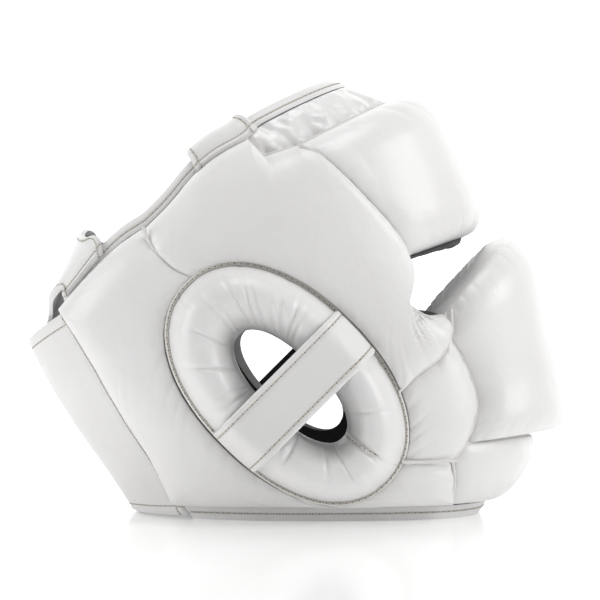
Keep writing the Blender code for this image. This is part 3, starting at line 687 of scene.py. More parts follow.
@dataclass(frozen=True)
class Leather:
    """Smooth coated leather: fine pores, soft creases and a little unevenness of tone."""

    name: str
    tone: tuple[float, float, float]
    shade: tuple[float, float, float]
    roughness: float = 0.36
    pore: float = 0.0011
    pore_depth: float = 0.00003
    crease: float = 0.011
    crease_depth: float = 0.00035
    coat: float = 0.25

    def made(self) -> Material:
        """The material."""
        bench = Bench(self.name)
        clouds = bench.noise(0.060, detail=2.0)
        specks = bench.noise(0.004, detail=4.0, roughness=0.7)
        mix = bench.ramp(clouds * 0.8 + specks * 0.2, 0.35, 0.65)
        bench.feed("Base Color", bench.blend(mix, self.shade, self.tone))
        bench.feed("Roughness", self.roughness + 0.10 * bench.ramp(bench.noise(0.018, detail=4.0), 0.3, 0.7))
        pores = bench.ramp(bench.cells(self.pore, "SMOOTH_F1"), 0.1, 0.6)
        creases = bench.noise(self.crease, detail=2.5, roughness=0.45, distortion=0.6)
        soft = bench.bump(creases, self.crease_depth)
        bench.feed("Normal", bench.bump(pores, self.pore_depth, soft))
        bench.constant(Coat_Weight=self.coat, Coat_Roughness=0.22, Specular_IOR_Level=0.5)
        return bench.material


@dataclass(frozen=True)
class Cloth:
    """Matt woven cloth with a short nap."""

    name: str
    tone: tuple[float, float, float]
    shade: tuple[float, float, float]
    thread: float = 0.0009

    def made(self) -> Material:
        """The material."""
        bench = Bench(self.name)
        mix = bench.ramp(bench.noise(0.020, detail=5.0, roughness=0.7), 0.3, 0.7)
        bench.feed("Base Color", bench.blend(mix, self.shade, self.tone))
        weave = bench.ramp(bench.cells(self.thread), 0.05, 0.55)
        nap = bench.noise(0.0006, detail=3.0, roughness=0.8)
        bench.feed("Roughness", 0.82 + 0.15 * nap)
        bench.feed("Normal", bench.bump(weave * 0.7 + nap * 0.3, 0.00018))
        bench.constant(Sheen_Weight=0.25, Sheen_Roughness=0.5, Specular_IOR_Level=0.25)
        return bench.material


@dataclass(frozen=True)
class Thread:
    """Waxed sewing thread, twisted."""

    name: str
    tone: tuple[float, float, float]
    shade: tuple[float, float, float]
    roughness: float = 0.6

    def made(self) -> Material:
        """The material."""
        bench = Bench(self.name)
        fibre = bench.noise(0.0005, detail=2.0)
        bench.feed("Base Color", bench.blend(bench.ramp(fibre, 0.35, 0.65), self.shade, self.tone))
        bench.feed("Roughness", self.roughness + 0.2 * fibre)
        bench.feed("Normal", bench.bump(fibre, 0.00008))
        return bench.material


class Finishes:
    """All the materials, made once."""

    def __init__(self) -> None:
        """Makes the materials."""
        white, grey = (0.800, 0.795, 0.790), (0.765, 0.758, 0.752)
        self.pad = Leather("pad_leather", white, grey).made()
        warm, warm_grey = (0.79, 0.785, 0.78), (0.75, 0.743, 0.738)
        self.ring = Leather("ring_leather", warm, warm_grey, crease_depth=0.0005).made()
        creased = Leather("panel_leather", white, grey, 0.28, crease=0.008, crease_depth=0.0006, coat=0.35)
        self.panel = creased.made()
        dull, dull_grey = (0.77, 0.765, 0.76), (0.735, 0.728, 0.722)
        self.strap = Leather("strap_leather", dull, dull_grey, 0.42, coat=0.1).made()
        # The piping is darker than the pad leather: its colour is painted shade of the grooves that the cords
        # lie in.
        piping_shaded, piping_shaded_grey = (0.74, 0.73, 0.71), (0.66, 0.645, 0.62)
        self.piping = Leather("piping_leather", piping_shaded, piping_shaded_grey, 0.45, coat=0.1).made()
        self.lining = Cloth("lining_cloth", (0.022, 0.022, 0.024), (0.010, 0.010, 0.011)).made()
        self.thread = Thread("seam_thread", (0.62, 0.585, 0.51), (0.44, 0.41, 0.35)).made()
        # The needle holes are dark beads on the leather: their colour is painted shade of the holes.
        self.hole = Thread("painted_hole_shade", (0.26, 0.245, 0.23), (0.16, 0.15, 0.14), 0.8).made()


@dataclass
class Quilt:
    """A padded leather panel laid on the head form, over a grid of spots."""

    name: str
    spots: Array
    thickness: Array | float
    hems: Sequence[Hem | tuple[Array, Array]]
    material: Material
    hand: Hand = Hand.LEFT
    puckers: Sequence[Pucker] = ()
    swell: float = 0.0006
    swell_size: float = 0.035
    seed: int = 3
    floor: float = SIZES.floor
    beside_ring: bool = False

    def fullness(self, points: Array) -> Array:
        """The share of the pad's thickness at each point of its grid."""
        full = np.ones(points.shape[:2])
        for distance, hem in zip(lengths_to_borders(points), self.hems):
            if isinstance(hem, Hem):
                left, rounding = hem.left, hem.rounding
            else:
                left, rounding = hem[0][:, None], hem[1][:, None]
            full = full * (1 - (1 - left) * (1 - rounded(distance, rounding)))
        return full

    def dips(self, points: Array) -> Array:
        """How far all the puckers sink the leather at each point."""
        to_start, to_end, to_first, to_last = lengths_to_borders(points)
        along_rows, along_columns = to_first / (to_first + to_last), to_start / (to_start + to_end)
        ways = {
            Side.START: (to_first, along_rows, to_start),
            Side.END: (to_first, along_rows, to_end),
            Side.FIRST: (to_start, along_columns, to_first),
            Side.LAST: (to_start, along_columns, to_last),
        }
        total = np.zeros(points.shape[:2])
        for pucker in self.puckers:
            total += pucker.dip(*ways[pucker.side])
        return total

    def built(self) -> Piece:
        """The pad's object."""
        spots = drawn_in(self.spots, SIZES.seam_gap / 2)
        turn, level = spots[..., 0], spots[..., 1]
        inner = FORM.place(turn, level, self.floor, self.hand)
        full = self.fullness(inner)
        swell = self.swell * Noise(self.seed).at(inner, self.swell_size) * np.clip(full * 2 - 1, 0, 1)
        lift = self.floor + (self.thickness - self.floor) * full + swell - self.dips(inner)
        outer = FORM.place(turn, level, np.maximum(lift, self.floor + 0.0008), self.hand)
        if self.beside_ring:
            aside = (outer[:, :1] - inner[:, :1]) * [1, 0, 1]
            lean = np.clip(1 - lengths_to_borders(inner)[2] / RING_LEAN, 0, 1) ** 2
            outer = outer - aside * lean[..., None]
        inner, outer = FORM.standing(inner, FORWARD), FORM.standing(outer, FORWARD)
        return shell(self.name, inner, outer, self.material)


def hems_along(parts: Sequence[tuple[Array, Hem]]) -> tuple[Array, tuple[Array, Array]]:
    """A border of several runs, with each point's hem.

    Args:
        parts: runs that follow each other, each with its hem.

    Returns:
        The joined border, and its points' left shares and roundings.
    """
    counts = [len(parts[0][0])] + [len(spots) - 1 for spots, _ in parts[1:]]
    left = np.repeat([hem.left for _, hem in parts], counts)
    rounding = np.repeat([hem.rounding for _, hem in parts], counts)
    return joined(*[spots for spots, _ in parts]), (eased(left), eased(rounding))


def neck_border(start: float, end: float, step: float = 1.2) -> Array:
    """The border along the top of the neck band.

    Args:
        start, end: the turns that it runs between.
        step: degrees from spot to spot.

    Returns:
        Its spots.
    """
    turns = np.linspace(start, end, max(4, round(abs(end - start) / step)) + 1)
    return np.stack([turns, FORM.neck_level(turns, SIZES.neck_band_height + SIZES.lay_gap)], axis=-1)


@dataclass(frozen=True)
class EarOval:
    """The outline and the cross-section of the padded oval round an ear."""

    length: float = 0.146
    width: float = 0.090
    hole_length: float = 0.076
    hole_width: float = 0.031
    hole_ahead: float = 0.0025
    thickness: float = 0.036
    exponent: float = 2.2
    forward: float = 0.001
    drop: float = 0.038
    angle: float = math.radians(-70.0)

    def framed(self, p: Array, q: Array) -> tuple[Array, Array]:
        """x and z, in the head's frame, of a point p along the oval and q across it."""
        x = self.forward + p * math.cos(self.angle) - q * math.sin(self.angle)
        z = -self.drop + p * math.sin(self.angle) + q * math.cos(self.angle)
        return x, z

    def outline(self, angle: Array, hole: bool = False, grow: float = 0.0) -> tuple[Array, Array]:
        """The outline of the oval, or of its hole.

        Args:
            angle: degrees round it.
            hole: whether the hole's outline is wanted.
            grow: how much larger it is all round.

        Returns:
            x and z of its points, in the head's frame.
        """
        angle, power = np.radians(angle), 2 / self.exponent
        length, width = (self.hole_length, self.hole_width) if hole else (self.length, self.width)
        p = (length / 2 + grow) * np.sign(np.cos(angle)) * np.abs(np.cos(angle)) ** power
        q = (width / 2 + grow) * np.sign(np.sin(angle)) * np.abs(np.sin(angle)) ** power
        return self.framed(p + self.hole_ahead * hole, q)

    def spots(self, angles: Array, grow: float = 0.0) -> Array:
        """The spots of the outline's points."""
        x, z = self.outline(angles, grow=grow)
        return np.stack([FORM.turn_at(x, z), z / FORM.height], axis=-1)

    def foot(self, x: Array, z: Array) -> Array:
        """How far out the oval's foot is at x and z: on the lining."""
        turn, level = FORM.turn_at(x, z), z / FORM.height
        foot, raised = FORM.place(turn, level), FORM.place(turn, level, SIZES.floor)
        return foot[..., 1] + SIZES.floor**2 / (raised - foot)[..., 1]

    def crest(self, x: Array, z: Array) -> Array:
        """How far out the oval's crest is: half flat, half following the head."""
        middle = self.foot(np.array(self.forward), np.array(-self.drop))
        return self.thickness + (middle + self.foot(x, z)) / 2

    def arch(self, t: Array) -> Array:
        """The cross-section: 0 at both edges of the oval's band, 1 along its middle."""
        return (1 - np.abs(2 * np.clip(t, 0, 1) - 1) ** self.exponent) ** (1 / self.exponent)


OVAL = EarOval()
ON_RING_BEHIND_TEMPLE = 175.0
ON_RING_UNDER_TEMPLE = 55.0
ON_RING_UNDER_CHEEK = 15.0


def to_ring(spots: Spots, angle: float) -> Array:
    """A seam from its border to the ear oval, as a run that starts on the oval."""
    return run([*spots, tuple(OVAL.spots(np.array(angle)))], count=30)[::-1]


@dataclass
class SidePads:
    """The pads of one side: the panel behind and below the ear, the temple and the cheek."""

    finishes: Finishes
    hand: Hand
    rows: int = 52

    def lay(
        self,
        part: str,
        spots: Array,
        thickness: Array | float,
        outer_hem: tuple[Array, Array],
        puckers: Sequence[Pucker],
        swell: float,
    ) -> None:
        """Builds a pad that starts on the ear oval, and fastens it.

        Args:
            part: the node's name without its side.
            spots: the pad's grid, its rows from the oval outward.
            thickness: how thick it is.
            outer_hem: the hem of the border away from the oval, point by point.
            puckers: its folds.
            swell: how uneven its thickness is.
        """
        node = f"{part}_{self.hand.word}"
        hems = (FLUSH, FLUSH, AT_RING, outer_hem)
        name, material, hand = f"{node}_leather", self.finishes.pad, self.hand
        quilt = Quilt(name, spots, thickness, hems, material, hand, puckers, swell, beside_ring=True)
        report(quilt.built(), [node])

    def make(self) -> None:
        """Lays the three pads."""
        behind = to_ring(BORDERS.behind_temple, ON_RING_BEHIND_TEMPLE)
        below = to_ring(BORDERS.under_temple, ON_RING_UNDER_TEMPLE)
        foot = to_ring(BORDERS.under_cheek, ON_RING_UNDER_CHEEK)
        self.temple(behind, below)
        self.cheek(below, foot)
        self.panel(foot, behind)

    def ring_side(self, start: float, end: float, outer: Array) -> Array:
        """The border on the ear oval that faces an outer border."""
        return OVAL.spots(start + (end - start) * shares(outer), grow=SIZES.lay_gap)

    def temple(self, behind: Array, below: Array) -> None:
        """The pad over the temple, with the tongue under the eye."""
        crown = joined(run(BORDERS.crown_side), run(BORDERS.crown_edge))
        parts = [(run(BORDERS.rim_side), AT_RIM), (crown, AT_CROWN)]
        parts += [(run(BORDERS.forehead_seam), FLUSH), (run(BORDERS.eye_edge), AT_EYE)]
        outer, outer_hem = hems_along(parts)
        inner = self.ring_side(ON_RING_BEHIND_TEMPLE, ON_RING_UNDER_TEMPLE, outer)
        spots = region(inner, outer, behind, below, crowded(self.rows))
        bounds = [SIZES.temple_swell_full, SIZES.temple_swell_from]
        thickness = SIZES.side_pad + np.interp(spots[..., 0], bounds, [SIZES.temple_swell, 0])
        puckers = [
            Pucker(Side.FIRST, 0.0004, 0.010, 0.013, seed=11),
            Pucker(Side.LAST, 0.0004, 0.009, 0.012, (0.42, 0.86), seed=12),
            Pucker(Side.LAST, 0.0032, 0.018, 0.0065, (0.85, 0.97), seed=13),
            Pucker(Side.START, 0.0006, 0.009, 0.010, seed=14),
            Pucker(Side.END, 0.0009, 0.010, 0.009, seed=15),
        ]
        self.lay("temple_pad", spots, thickness, outer_hem, puckers, 0.0008)

    def cheek(self, below: Array, foot: Array) -> None:
        """The pad between the ear oval and the face bar."""
        parts = [(run(BORDERS.bar_end), SOFT), (run(BORDERS.cheek_foot), AT_BAR)]
        outer, outer_hem = hems_along(parts)
        inner = self.ring_side(ON_RING_UNDER_TEMPLE, ON_RING_UNDER_CHEEK, outer)
        spots = region(inner, outer, below, foot, crowded(self.rows))
        puckers = [
            Pucker(Side.FIRST, 0.0007, 0.009, 0.010, seed=21),
            Pucker(Side.START, 0.0008, 0.010, 0.009, seed=22),
            Pucker(Side.LAST, 0.0007, 0.010, 0.012, seed=23),
        ]
        self.lay("cheek_pad", spots, SIZES.side_pad, outer_hem, puckers, 0.0007)

    def panel(self, foot: Array, behind: Array) -> None:
        """The pad behind and below the ear."""
        neck = neck_border(BORDERS.chin_seam[-1][0], BORDERS.rear_edge[0][0])
        chin_seam = run([*BORDERS.chin_seam[:-1], tuple(neck[0])])
        rear_edge = run([tuple(neck[-1]), *BORDERS.rear_edge[1:]])
        parts = [(chin_seam, SOFT), (neck, AT_NECK), (rear_edge, AT_RIM), (run(BORDERS.rim_rear), AT_RIM)]
        outer, outer_hem = hems_along(parts)
        inner = self.ring_side(ON_RING_UNDER_CHEEK, ON_RING_BEHIND_TEMPLE - 360, outer)
        spots = region(inner, outer, foot, behind, crowded(self.rows))
        puckers = [
            Pucker(Side.FIRST, 0.0007, 0.010, 0.012, seed=31),
            Pucker(Side.LAST, 0.0006, 0.012, 0.014, seed=32),
            Pucker(Side.END, 0.0006, 0.009, 0.010, seed=33),
        ]
        self.lay("side_panel", spots, SIZES.side_pad, outer_hem, puckers, 0.0008)


@dataclass
class FrontPads:
    """The forehead pad, the chin pad and the thin crown panel."""

    finishes: Finishes
    rows: int = 56
    chin_step: float = 50 / 45
    fold_depth: float = 0.0014
    small_fold: float = 0.008

    def make(self) -> None:
        """Lays the three pads."""
        self.forehead()
        self.chin()
        self.crown_panel()

    def forehead(self) -> None:
        """The thick pad across the forehead."""
        low, top = run(BORDERS.forehead_low, count=76), run(BORDERS.forehead_top, count=76)
        seam = run(BORDERS.forehead_seam)[::-1]
        spots = region(both_ways(low), both_ways(top), mirrored(seam), seam, crowded(self.rows))
        middle = 1 - np.abs(spots[..., 0] / BORDERS.forehead_seam[-1][0]).clip(0, 1) ** 2
        side = SIZES.side_pad + SIZES.temple_swell
        thickness = side + (SIZES.forehead_pad - side) * middle
        puckers = [
            Pucker(Side.START, 0.0007, 0.011, 0.010, seed=41),
            Pucker(Side.END, 0.0007, 0.011, 0.010, seed=42),
            Pucker(Side.FIRST, 0.0007, 0.010, 0.013, seed=43),
            Pucker(Side.LAST, 0.0008, 0.012, 0.014, seed=44),
        ]
        hems = (FLUSH, FLUSH, AT_FOREHEAD_LOW, AT_FOREHEAD_TOP)
        quilt = Quilt("forehead_pad_leather", spots, thickness, hems, self.finishes.pad, puckers=puckers)
        report(quilt.built(), ["forehead_pad"])

    def chin(self) -> None:
        """The pad under the face bar, from cheek to cheek."""
        half = joined(run(BORDERS.cheek_foot[::-1], count=9), run(BORDERS.bar_foot, count=70))
        low = neck_border(BORDERS.chin_seam[-1][0], 0.0, self.chin_step)
        seam = run([tuple(low[0]), *BORDERS.chin_seam[:-1][::-1]])
        low = resample(low, shares(half))
        spots = region(both_ways(low), both_ways(half), mirrored(seam), seam, crowded(24))
        puckers = [
            Pucker(Side.LAST, 0.0008, 0.010, 0.012, seed=51),
            Pucker(Side.FIRST, 0.0006, 0.009, 0.014, seed=52),
        ]
        hems = (SOFT, SOFT, AT_NECK, FLUSH)
        quilt = Quilt("chin_pad_leather", spots, SIZES.chin_pad, hems, self.finishes.pad, puckers=puckers)
        report(quilt.built(), ["chin_pad"])

    def crown_panel(self) -> None:
        """The thin creased panel between the forehead pad and the rim."""
        low = joined(run(BORDERS.crown_edge, count=14), run(BORDERS.forehead_top, count=76))
        top = run(BORDERS.rim_front, count=90)
        side = run(BORDERS.crown_side[::-1])
        spots = region(both_ways(low), both_ways(top), mirrored(side), side, crowded(34))
        turn, level = spots[..., 0], spots[..., 1]
        folds = Noise(61).at(np.stack([turn * 0.35, level * 40, 0 * turn], axis=-1), 1.0)
        folds = folds + 0.5 * Noise(62).at(FORM.place(turn, level), self.small_fold)
        thickness = SIZES.floor + SIZES.crown_panel + self.fold_depth * folds
        hems = [AT_PANEL] * 4
        puckers = [
            Pucker(Side.LAST, 0.0010, 0.009, 0.008, seed=63),
            Pucker(Side.FIRST, 0.0010, 0.009, 0.009, seed=64),
        ]
        material = self.finishes.panel
        quilt = Quilt("crown_panel_leather", spots, thickness, hems, material, puckers=puckers, swell=0.0008)
        report(quilt.built(), ["crown_panel"])


@dataclass
class FaceBar:
    """The padded bar over the nose and mouth: it stands off the face, and its ends meet the cheeks."""

    finishes: Finishes
    reach: float = 0.0475
    end: float = 0.023
    standoff: float = 0.014
    bow: float = 2.2
    rounding: float = 0.016
    foot_left: float = 0.74
    top_left: float = 0.64
    side_left: float = 0.70
    back_rounding: float = 0.35
    heights: Table = (0.0, 0.25, 0.5, 0.8, 1.0)
    profile: Table = (0.80, 0.82, 0.90, 1.0, 1.0)

    def make(self) -> None:
        """Builds the bar."""
        foot, top = run(BORDERS.bar_foot, count=84), run(BORDERS.bar_top, count=84)
        end = run(BORDERS.bar_end[::-1])
        steps = crowded(56, 0.06)
        spots = region(both_ways(foot), both_ways(top), mirrored(end), end, steps)
        spots = drawn_in(spots, SIZES.seam_gap)
        turn, level = spots[..., 0], spots[..., 1]
        u = np.abs(shares(spots[:, spots.shape[1] // 2]) * 2 - 1)[:, None]
        middle = 1 - u**self.bow
        front = self.end + (self.reach * follow(steps[None], self.heights, self.profile) - self.end) * middle
        back = SIZES.floor + (self.standoff - SIZES.floor) * middle
        points = FORM.place(turn, level, front)
        to_left, to_right, to_foot, to_top = lengths_to_borders(points)
        at_foot, at_top = 1 - rounded(to_foot, self.rounding), 1 - rounded(to_top, 1.5 * self.rounding)
        thick = front - back
        to_end = (1 - u) * FORM.length / 2
        ends = 1 - (1 - self.side_left) * (1 - rounded(to_end, self.rounding))
        low, high = 1 - (1 - self.foot_left) * at_foot, 1 - (1 - self.top_left) * at_top
        front = back + thick * ends * low * high
        back = back + thick * self.back_rounding * middle * (at_foot + at_top)
        along_rows, along_columns = to_foot / (to_foot + to_top), to_left / (to_left + to_right)
        front = front - Pucker(Side.START, 0.0008, 0.012, 0.011, seed=71).dip(to_foot, along_rows, to_left)
        front = front - Pucker(Side.END, 0.0008, 0.012, 0.011, seed=71).dip(to_foot, along_rows, to_right)
        above = Pucker(Side.LAST, 0.0009, 0.010, 0.009, seed=73).dip(to_left, along_columns, to_top)
        below = Pucker(Side.FIRST, 0.0007, 0.010, 0.013, seed=74).dip(to_left, along_columns, to_foot)
        front = front - above - below
        back = back + Pucker(Side.LAST, 0.0018, 0.018, 0.009, seed=75).dip(to_left, along_columns, to_top)
        front = front + 0.0007 * Noise(76).at(points, 0.035)
        inner, outer = (FORM.standing(FORM.place(turn, level, lift), FORWARD) for lift in (back, front))
        report(shell("face_bar_leather", inner, outer, self.finishes.pad), ["face_bar"])


@dataclass
class EarRing:
    """The padded oval round an ear, gathered into its two seams."""

    finishes: Finishes
    stitching: "Stitching"
    hand: Hand
    around: int = 480
    over: int = 44
    under: int = 8
    creases: int = 46
    seam_from: Spot = (0.0405, 0.0025)
    seam_to: Spot = (0.0705, 0.0105)
    seam_pitch: float = 0.0030

    def make(self) -> None:
        """Builds the oval."""
        angle = np.linspace(0, 360, self.around + 1)[:, None]
        outer_x, outer_z = OVAL.outline(angle)
        hole_x, hole_z = OVAL.outline(angle, hole=True)
        over = (1 - np.cos(np.linspace(0, math.pi, self.over))) / 2
        under = np.linspace(1, 0, self.under)[1:]
        t = np.concatenate([over, under])[None]
        height = np.concatenate([OVAL.arch(over), np.zeros(len(under))])[None]
        x, z = outer_x + (hole_x - outer_x) * t, outer_z + (hole_z - outer_z) * t
        foot = OVAL.foot(x, z)
        gathered = self.gathers(angle, t, x, z) * (height > 0)
        y = foot + (OVAL.crest(x, z) - foot) * height - gathered
        points = np.stack([x, self.hand.value * y, z], axis=-1)
        body, _ = laid(FORM.standing(points, FORWARD), closed=True)
        piece = as_object(f"ear_ring_{self.hand.word}_leather", body, self.finishes.ring, 70.0)
        report(piece, [f"ear_ring_{self.hand.word}"])
        self.close()

    def close(self) -> None:
        """Sews the seam that closes the oval below the ear."""
        p, q = np.linspace(self.seam_from, self.seam_to, 30, axis=1)
        sizes = (OVAL.length, OVAL.width), (OVAL.hole_length, OVAL.hole_width)
        outer, hole = (
            ((2 * p / length) ** OVAL.exponent + (2 * q / width) ** OVAL.exponent) ** (1 / OVAL.exponent)
            for length, width in sizes
        )
        x, z = OVAL.framed(p, q)
        foot = OVAL.foot(x, z)
        y = foot + (OVAL.crest(x, z) - foot) * OVAL.arch((1 - outer) / (1 - outer / hole))
        line = FORM.standing(np.stack([x, self.hand.value * y, z], axis=-1), FORWARD)
        self.stitching.sew(line, np.tile([0.0, self.hand.value, 0.0], (len(p), 1)), self.seam_pitch)

    def gathers(self, angle: Array, t: Array, x: Array, z: Array) -> Array:
        """How far the radial folds sink the leather, deepest by the hole and by the outer seam.

        Args:
            angle: degrees round the oval.
            t: the way over the padding, from 0 outside to 1 at the hole.
            x, z: each point's place.

        Returns:
            Depths in metres.
        """
        draw = np.random.default_rng(84)
        sunk = np.zeros(np.broadcast(angle, t).shape)
        for number in range(self.creases):
            at, bend = draw.uniform(0, 360), draw.uniform(-9, 9)
            width, depth = draw.uniform(1.0, 2.3), draw.uniform(0.0008, 0.0024)
            inner = number % 3 > 0
            inward = (1 - t) if inner else t
            length = draw.uniform(0.35, 0.75) if inner else draw.uniform(0.10, 0.26)
            away = (angle - at - bend * inward + 180) % 360 - 180
            sunk = sunk + depth * np.exp(-((away / width) ** 2) - (inward / length) ** 2)
        swell = 0.0009 * Noise(83).at(np.stack([x, 0 * x, z], axis=-1), 0.024)
        lift = OVAL.arch(t)
        return sunk * lift**0.5 + swell * lift


@dataclass(frozen=True)
class Stitch:
    """A row of machine stitches: thread that sinks into a needle hole at both ends."""

    pitch: float = 0.0034
    length: float = 0.0024
    width: float = 0.0009
    height: float = 0.0005
    hole: float = 0.0009
    hole_height: float = 0.45
    raised: float = 0.35
    hole_raised: float = 0.00005


@dataclass
class Stitching:
    """All the stitches, gathered as the pieces are sewn and made at the end."""

    finishes: Finishes
    stitch: Stitch = field(default_factory=Stitch)
    places: list[tuple[Array, Array, Array, float]] = field(default_factory=list)

    def sew(self, line: Array, out: Array, pitch: float | None = None) -> None:
        """Sews along a line.

        Args:
            line: points on the leather's face.
            out: the face's normals there.
            pitch: the length from stitch to stitch.
        """
        pitch = pitch or self.stitch.pitch
        along = np.concatenate([[0], np.cumsum(np.linalg.norm(np.diff(line, axis=0), axis=1))])
        count = max(1, int(along[-1] / pitch))
        middle = (np.arange(count) + 0.5) * along[-1] / count
        half = self.stitch.length / 2

        def read(at: Array, values: Array) -> Array:
            """The values at these lengths."""
            return np.stack([np.interp(at, along, values[:, k]) for k in range(3)], axis=-1)

        centre, normal = read(middle, line), read(middle, out)
        way = read(middle + half, line) - read(middle - half, line)
        for c, w, n in zip(centre, way, normal):
            self.places.append((c, w / np.linalg.norm(w), n / np.linalg.norm(n), pitch))

    def bead(self, name: str, size: Sequence[float], segments: int, rings: int) -> tuple[Array, list]:
        """One small flattened bead, modelled at the origin and read back.

        Args:
            name: the name that it has while it is modelled.
            size: its half lengths along X, Y and Z.
            segments, rings: its divisions.

        Returns:
            Its points and its faces.
        """
        bpy.ops.object.select_all(action="DESELECT")
        bpy.ops.mesh.primitive_uv_sphere_add(segments=segments, ring_count=rings, radius=1.0)
        made = bpy.context.object
        made.name = name
        bpy.ops.object.mode_set(mode="EDIT")
        bpy.ops.mesh.select_all(action="SELECT")
        bpy.ops.transform.rotate(value=math.pi / 2, orient_axis="Y", center_override=(0, 0, 0))
        bpy.ops.transform.resize(value=size, center_override=(0, 0, 0))
        bpy.ops.object.mode_set(mode="OBJECT")
        points = np.array([vertex.co[:] for vertex in made.data.vertices])
        faces = [tuple(face.vertices) for face in made.data.polygons]
        bpy.data.objects.remove(made)
        return points, faces

    def copies(self, name: str, bead: tuple[Array, list], places: list, material: Material) -> None:
        """One mesh of a bead copied to many places.

        Args:
            name: the piece's name.
            bead: its points and faces.
            places: (centre, way, normal) of each copy.
            material: its finish.
        """
        points, faces = bead
        all_points, all_faces = [], []
        for number, (centre, way, normal) in enumerate(places):
            side = np.cross(normal, way)
            side = side / np.linalg.norm(side)
            normal = np.cross(way, side)
            all_points.append(centre + points[:, :1] * way + points[:, 1:2] * side + points[:, 2:] * normal)
            offset = number * len(points)
            all_faces += [tuple(corner + offset for corner in face) for face in faces]
        mesh = bpy.data.meshes.new(name)
        mesh.from_pydata(np.concatenate(all_points).tolist(), [], all_faces)
        mesh.shade_smooth()
        mesh.materials.append(material)
        piece = bpy.data.objects.new(name, mesh)
        bpy.context.scene.collection.objects.link(piece)
        report(piece)

    def make(self) -> None:
        """Builds the thread of every row, and a dark bead at each needle hole whose colour is painted shade
        of the hole.
        """
        s = self.stitch
        thread = self.bead("thread_bead", (s.length / 2, s.width / 2, s.height), 8, 6)
        # A dark flat bead at each needle hole: painted shade of the hole.
        hole = self.bead("hole_bead", (s.hole / 2, s.hole / 2, s.height * s.hole_height), 8, 4)
        threads = [(c + n * s.height * s.raised, w, n) for c, w, n, _ in self.places]
        holes = [(c + w * pitch / 2 + n * s.hole_raised, w, n) for c, w, n, pitch in self.places]
        self.copies("stitches", thread, threads, self.finishes.thread)
        self.copies("painted_hole_shade_beads", hole, holes, self.finishes.hole)


def normals(face: Array, inside: Array) -> Array:
    """The outward normals of a grid of points.

    Args:
        face: the grid.
        inside: a grid behind it, which the normals point away from.

    Returns:
        A unit vector for each point.
    """
    across, along = np.gradient(face, axis=0), np.gradient(face, axis=1)
    out = np.cross(across, along)
    out = out / np.maximum(np.linalg.norm(out, axis=-1, keepdims=True), 1e-12)
    if np.sum(out * (face - inside)) < 0:
        out = -out
    return out


def grid_row(grid: Array, share: float) -> Array:
    """The line across a grid's rows at a share of the way from its first row to its last."""
    at = share * (grid.shape[1] - 1)
    low = min(int(at), grid.shape[1] - 2)
    return grid[:, low] + (grid[:, low + 1] - grid[:, low]) * (at - low)


def grid_column(grid: Array, share: float) -> Array:
    """The line along a grid's columns at a share of the way from its first column to its last."""
    return grid_row(grid.transpose(1, 0, 2), share)


def refined(points: Array, columns: int, rows: int) -> Array:
    """A coarse grid of points made fine, along smooth curves both ways.

    Args:
        points: the coarse grid, by column and row.
        columns, rows: the steps that are wanted each way.

    Returns:
        The fine grid.
    """
    def one_way(table: Array, count: int) -> Array:
        """The first axis of a grid read at count + 1 even places."""
        steps = np.linalg.norm(np.diff(table, axis=0), axis=-1).mean(axis=1)
        along = np.concatenate([[0], np.cumsum(steps)])
        at = np.linspace(0, along[-1], count + 1)
        flat = table.reshape(table.shape[0], -1)
        read = np.stack([follow(at, along, flat[:, k]) for k in range(flat.shape[1])], axis=-1)
        return read.reshape(count + 1, *table.shape[1:])

    return one_way(one_way(points, columns).transpose(1, 0, 2), rows).transpose(1, 0, 2)


@dataclass
class Strap:
    """A flat strap of folded leather: its back lies on a grid of points, with its long edges turned in."""

    name: str
    back: Array
    thickness: float
    material: Material
    outward: tuple[float, float, float]
    edge: float = 0.0035
    turned: float = 0.0016
    welt: float = 0.16
    ripple: float = 0.0004
    ends_folded: bool = True
    face: Array = field(init=False)

    def built(self) -> Piece:
        """The strap's object. Its face is kept for the seams."""
        out = normals(self.back, self.back - np.array(self.outward))
        to_start, to_end, to_first, to_last = lengths_to_borders(self.back)
        sides = np.minimum(to_first, to_last)
        if self.ends_folded:
            sides = np.minimum(sides, np.minimum(to_start, to_end))
        rise = rounded(sides + 0.0002, self.turned)
        bead = np.exp(-(((sides - self.turned) / 0.0014) ** 2))
        seam = np.exp(-(((sides - self.edge) / 0.0009) ** 2))
        welt = self.welt * bead - self.welt * seam
        ripple = self.ripple * Noise(91).at(self.back, 0.014)
        height = self.thickness * (0.35 + 0.60 * rise + welt) + ripple * rise
        self.face = self.back + out * height[..., None]
        return shell(self.name, self.back, self.face, self.material)

    def hem(self, stitching: Stitching, sides: bool = True, ends: bool = True) -> None:
        """Sews round the strap, at its edge distance in."""
        out = normals(self.face, self.back)
        to_start, to_end, to_first, to_last = lengths_to_borders(self.face)
        across, along = float((to_first + to_last).mean()), float((to_start + to_end).mean())
        low, near = self.edge / across, self.edge / along
        if sides:
            for share in (low, 1 - low):
                stitching.sew(grid_row(self.face, share), grid_row(out, share))
        if ends:
            for share in (near, 1 - near):
                stitching.sew(grid_column(self.face, share), grid_column(out, share))


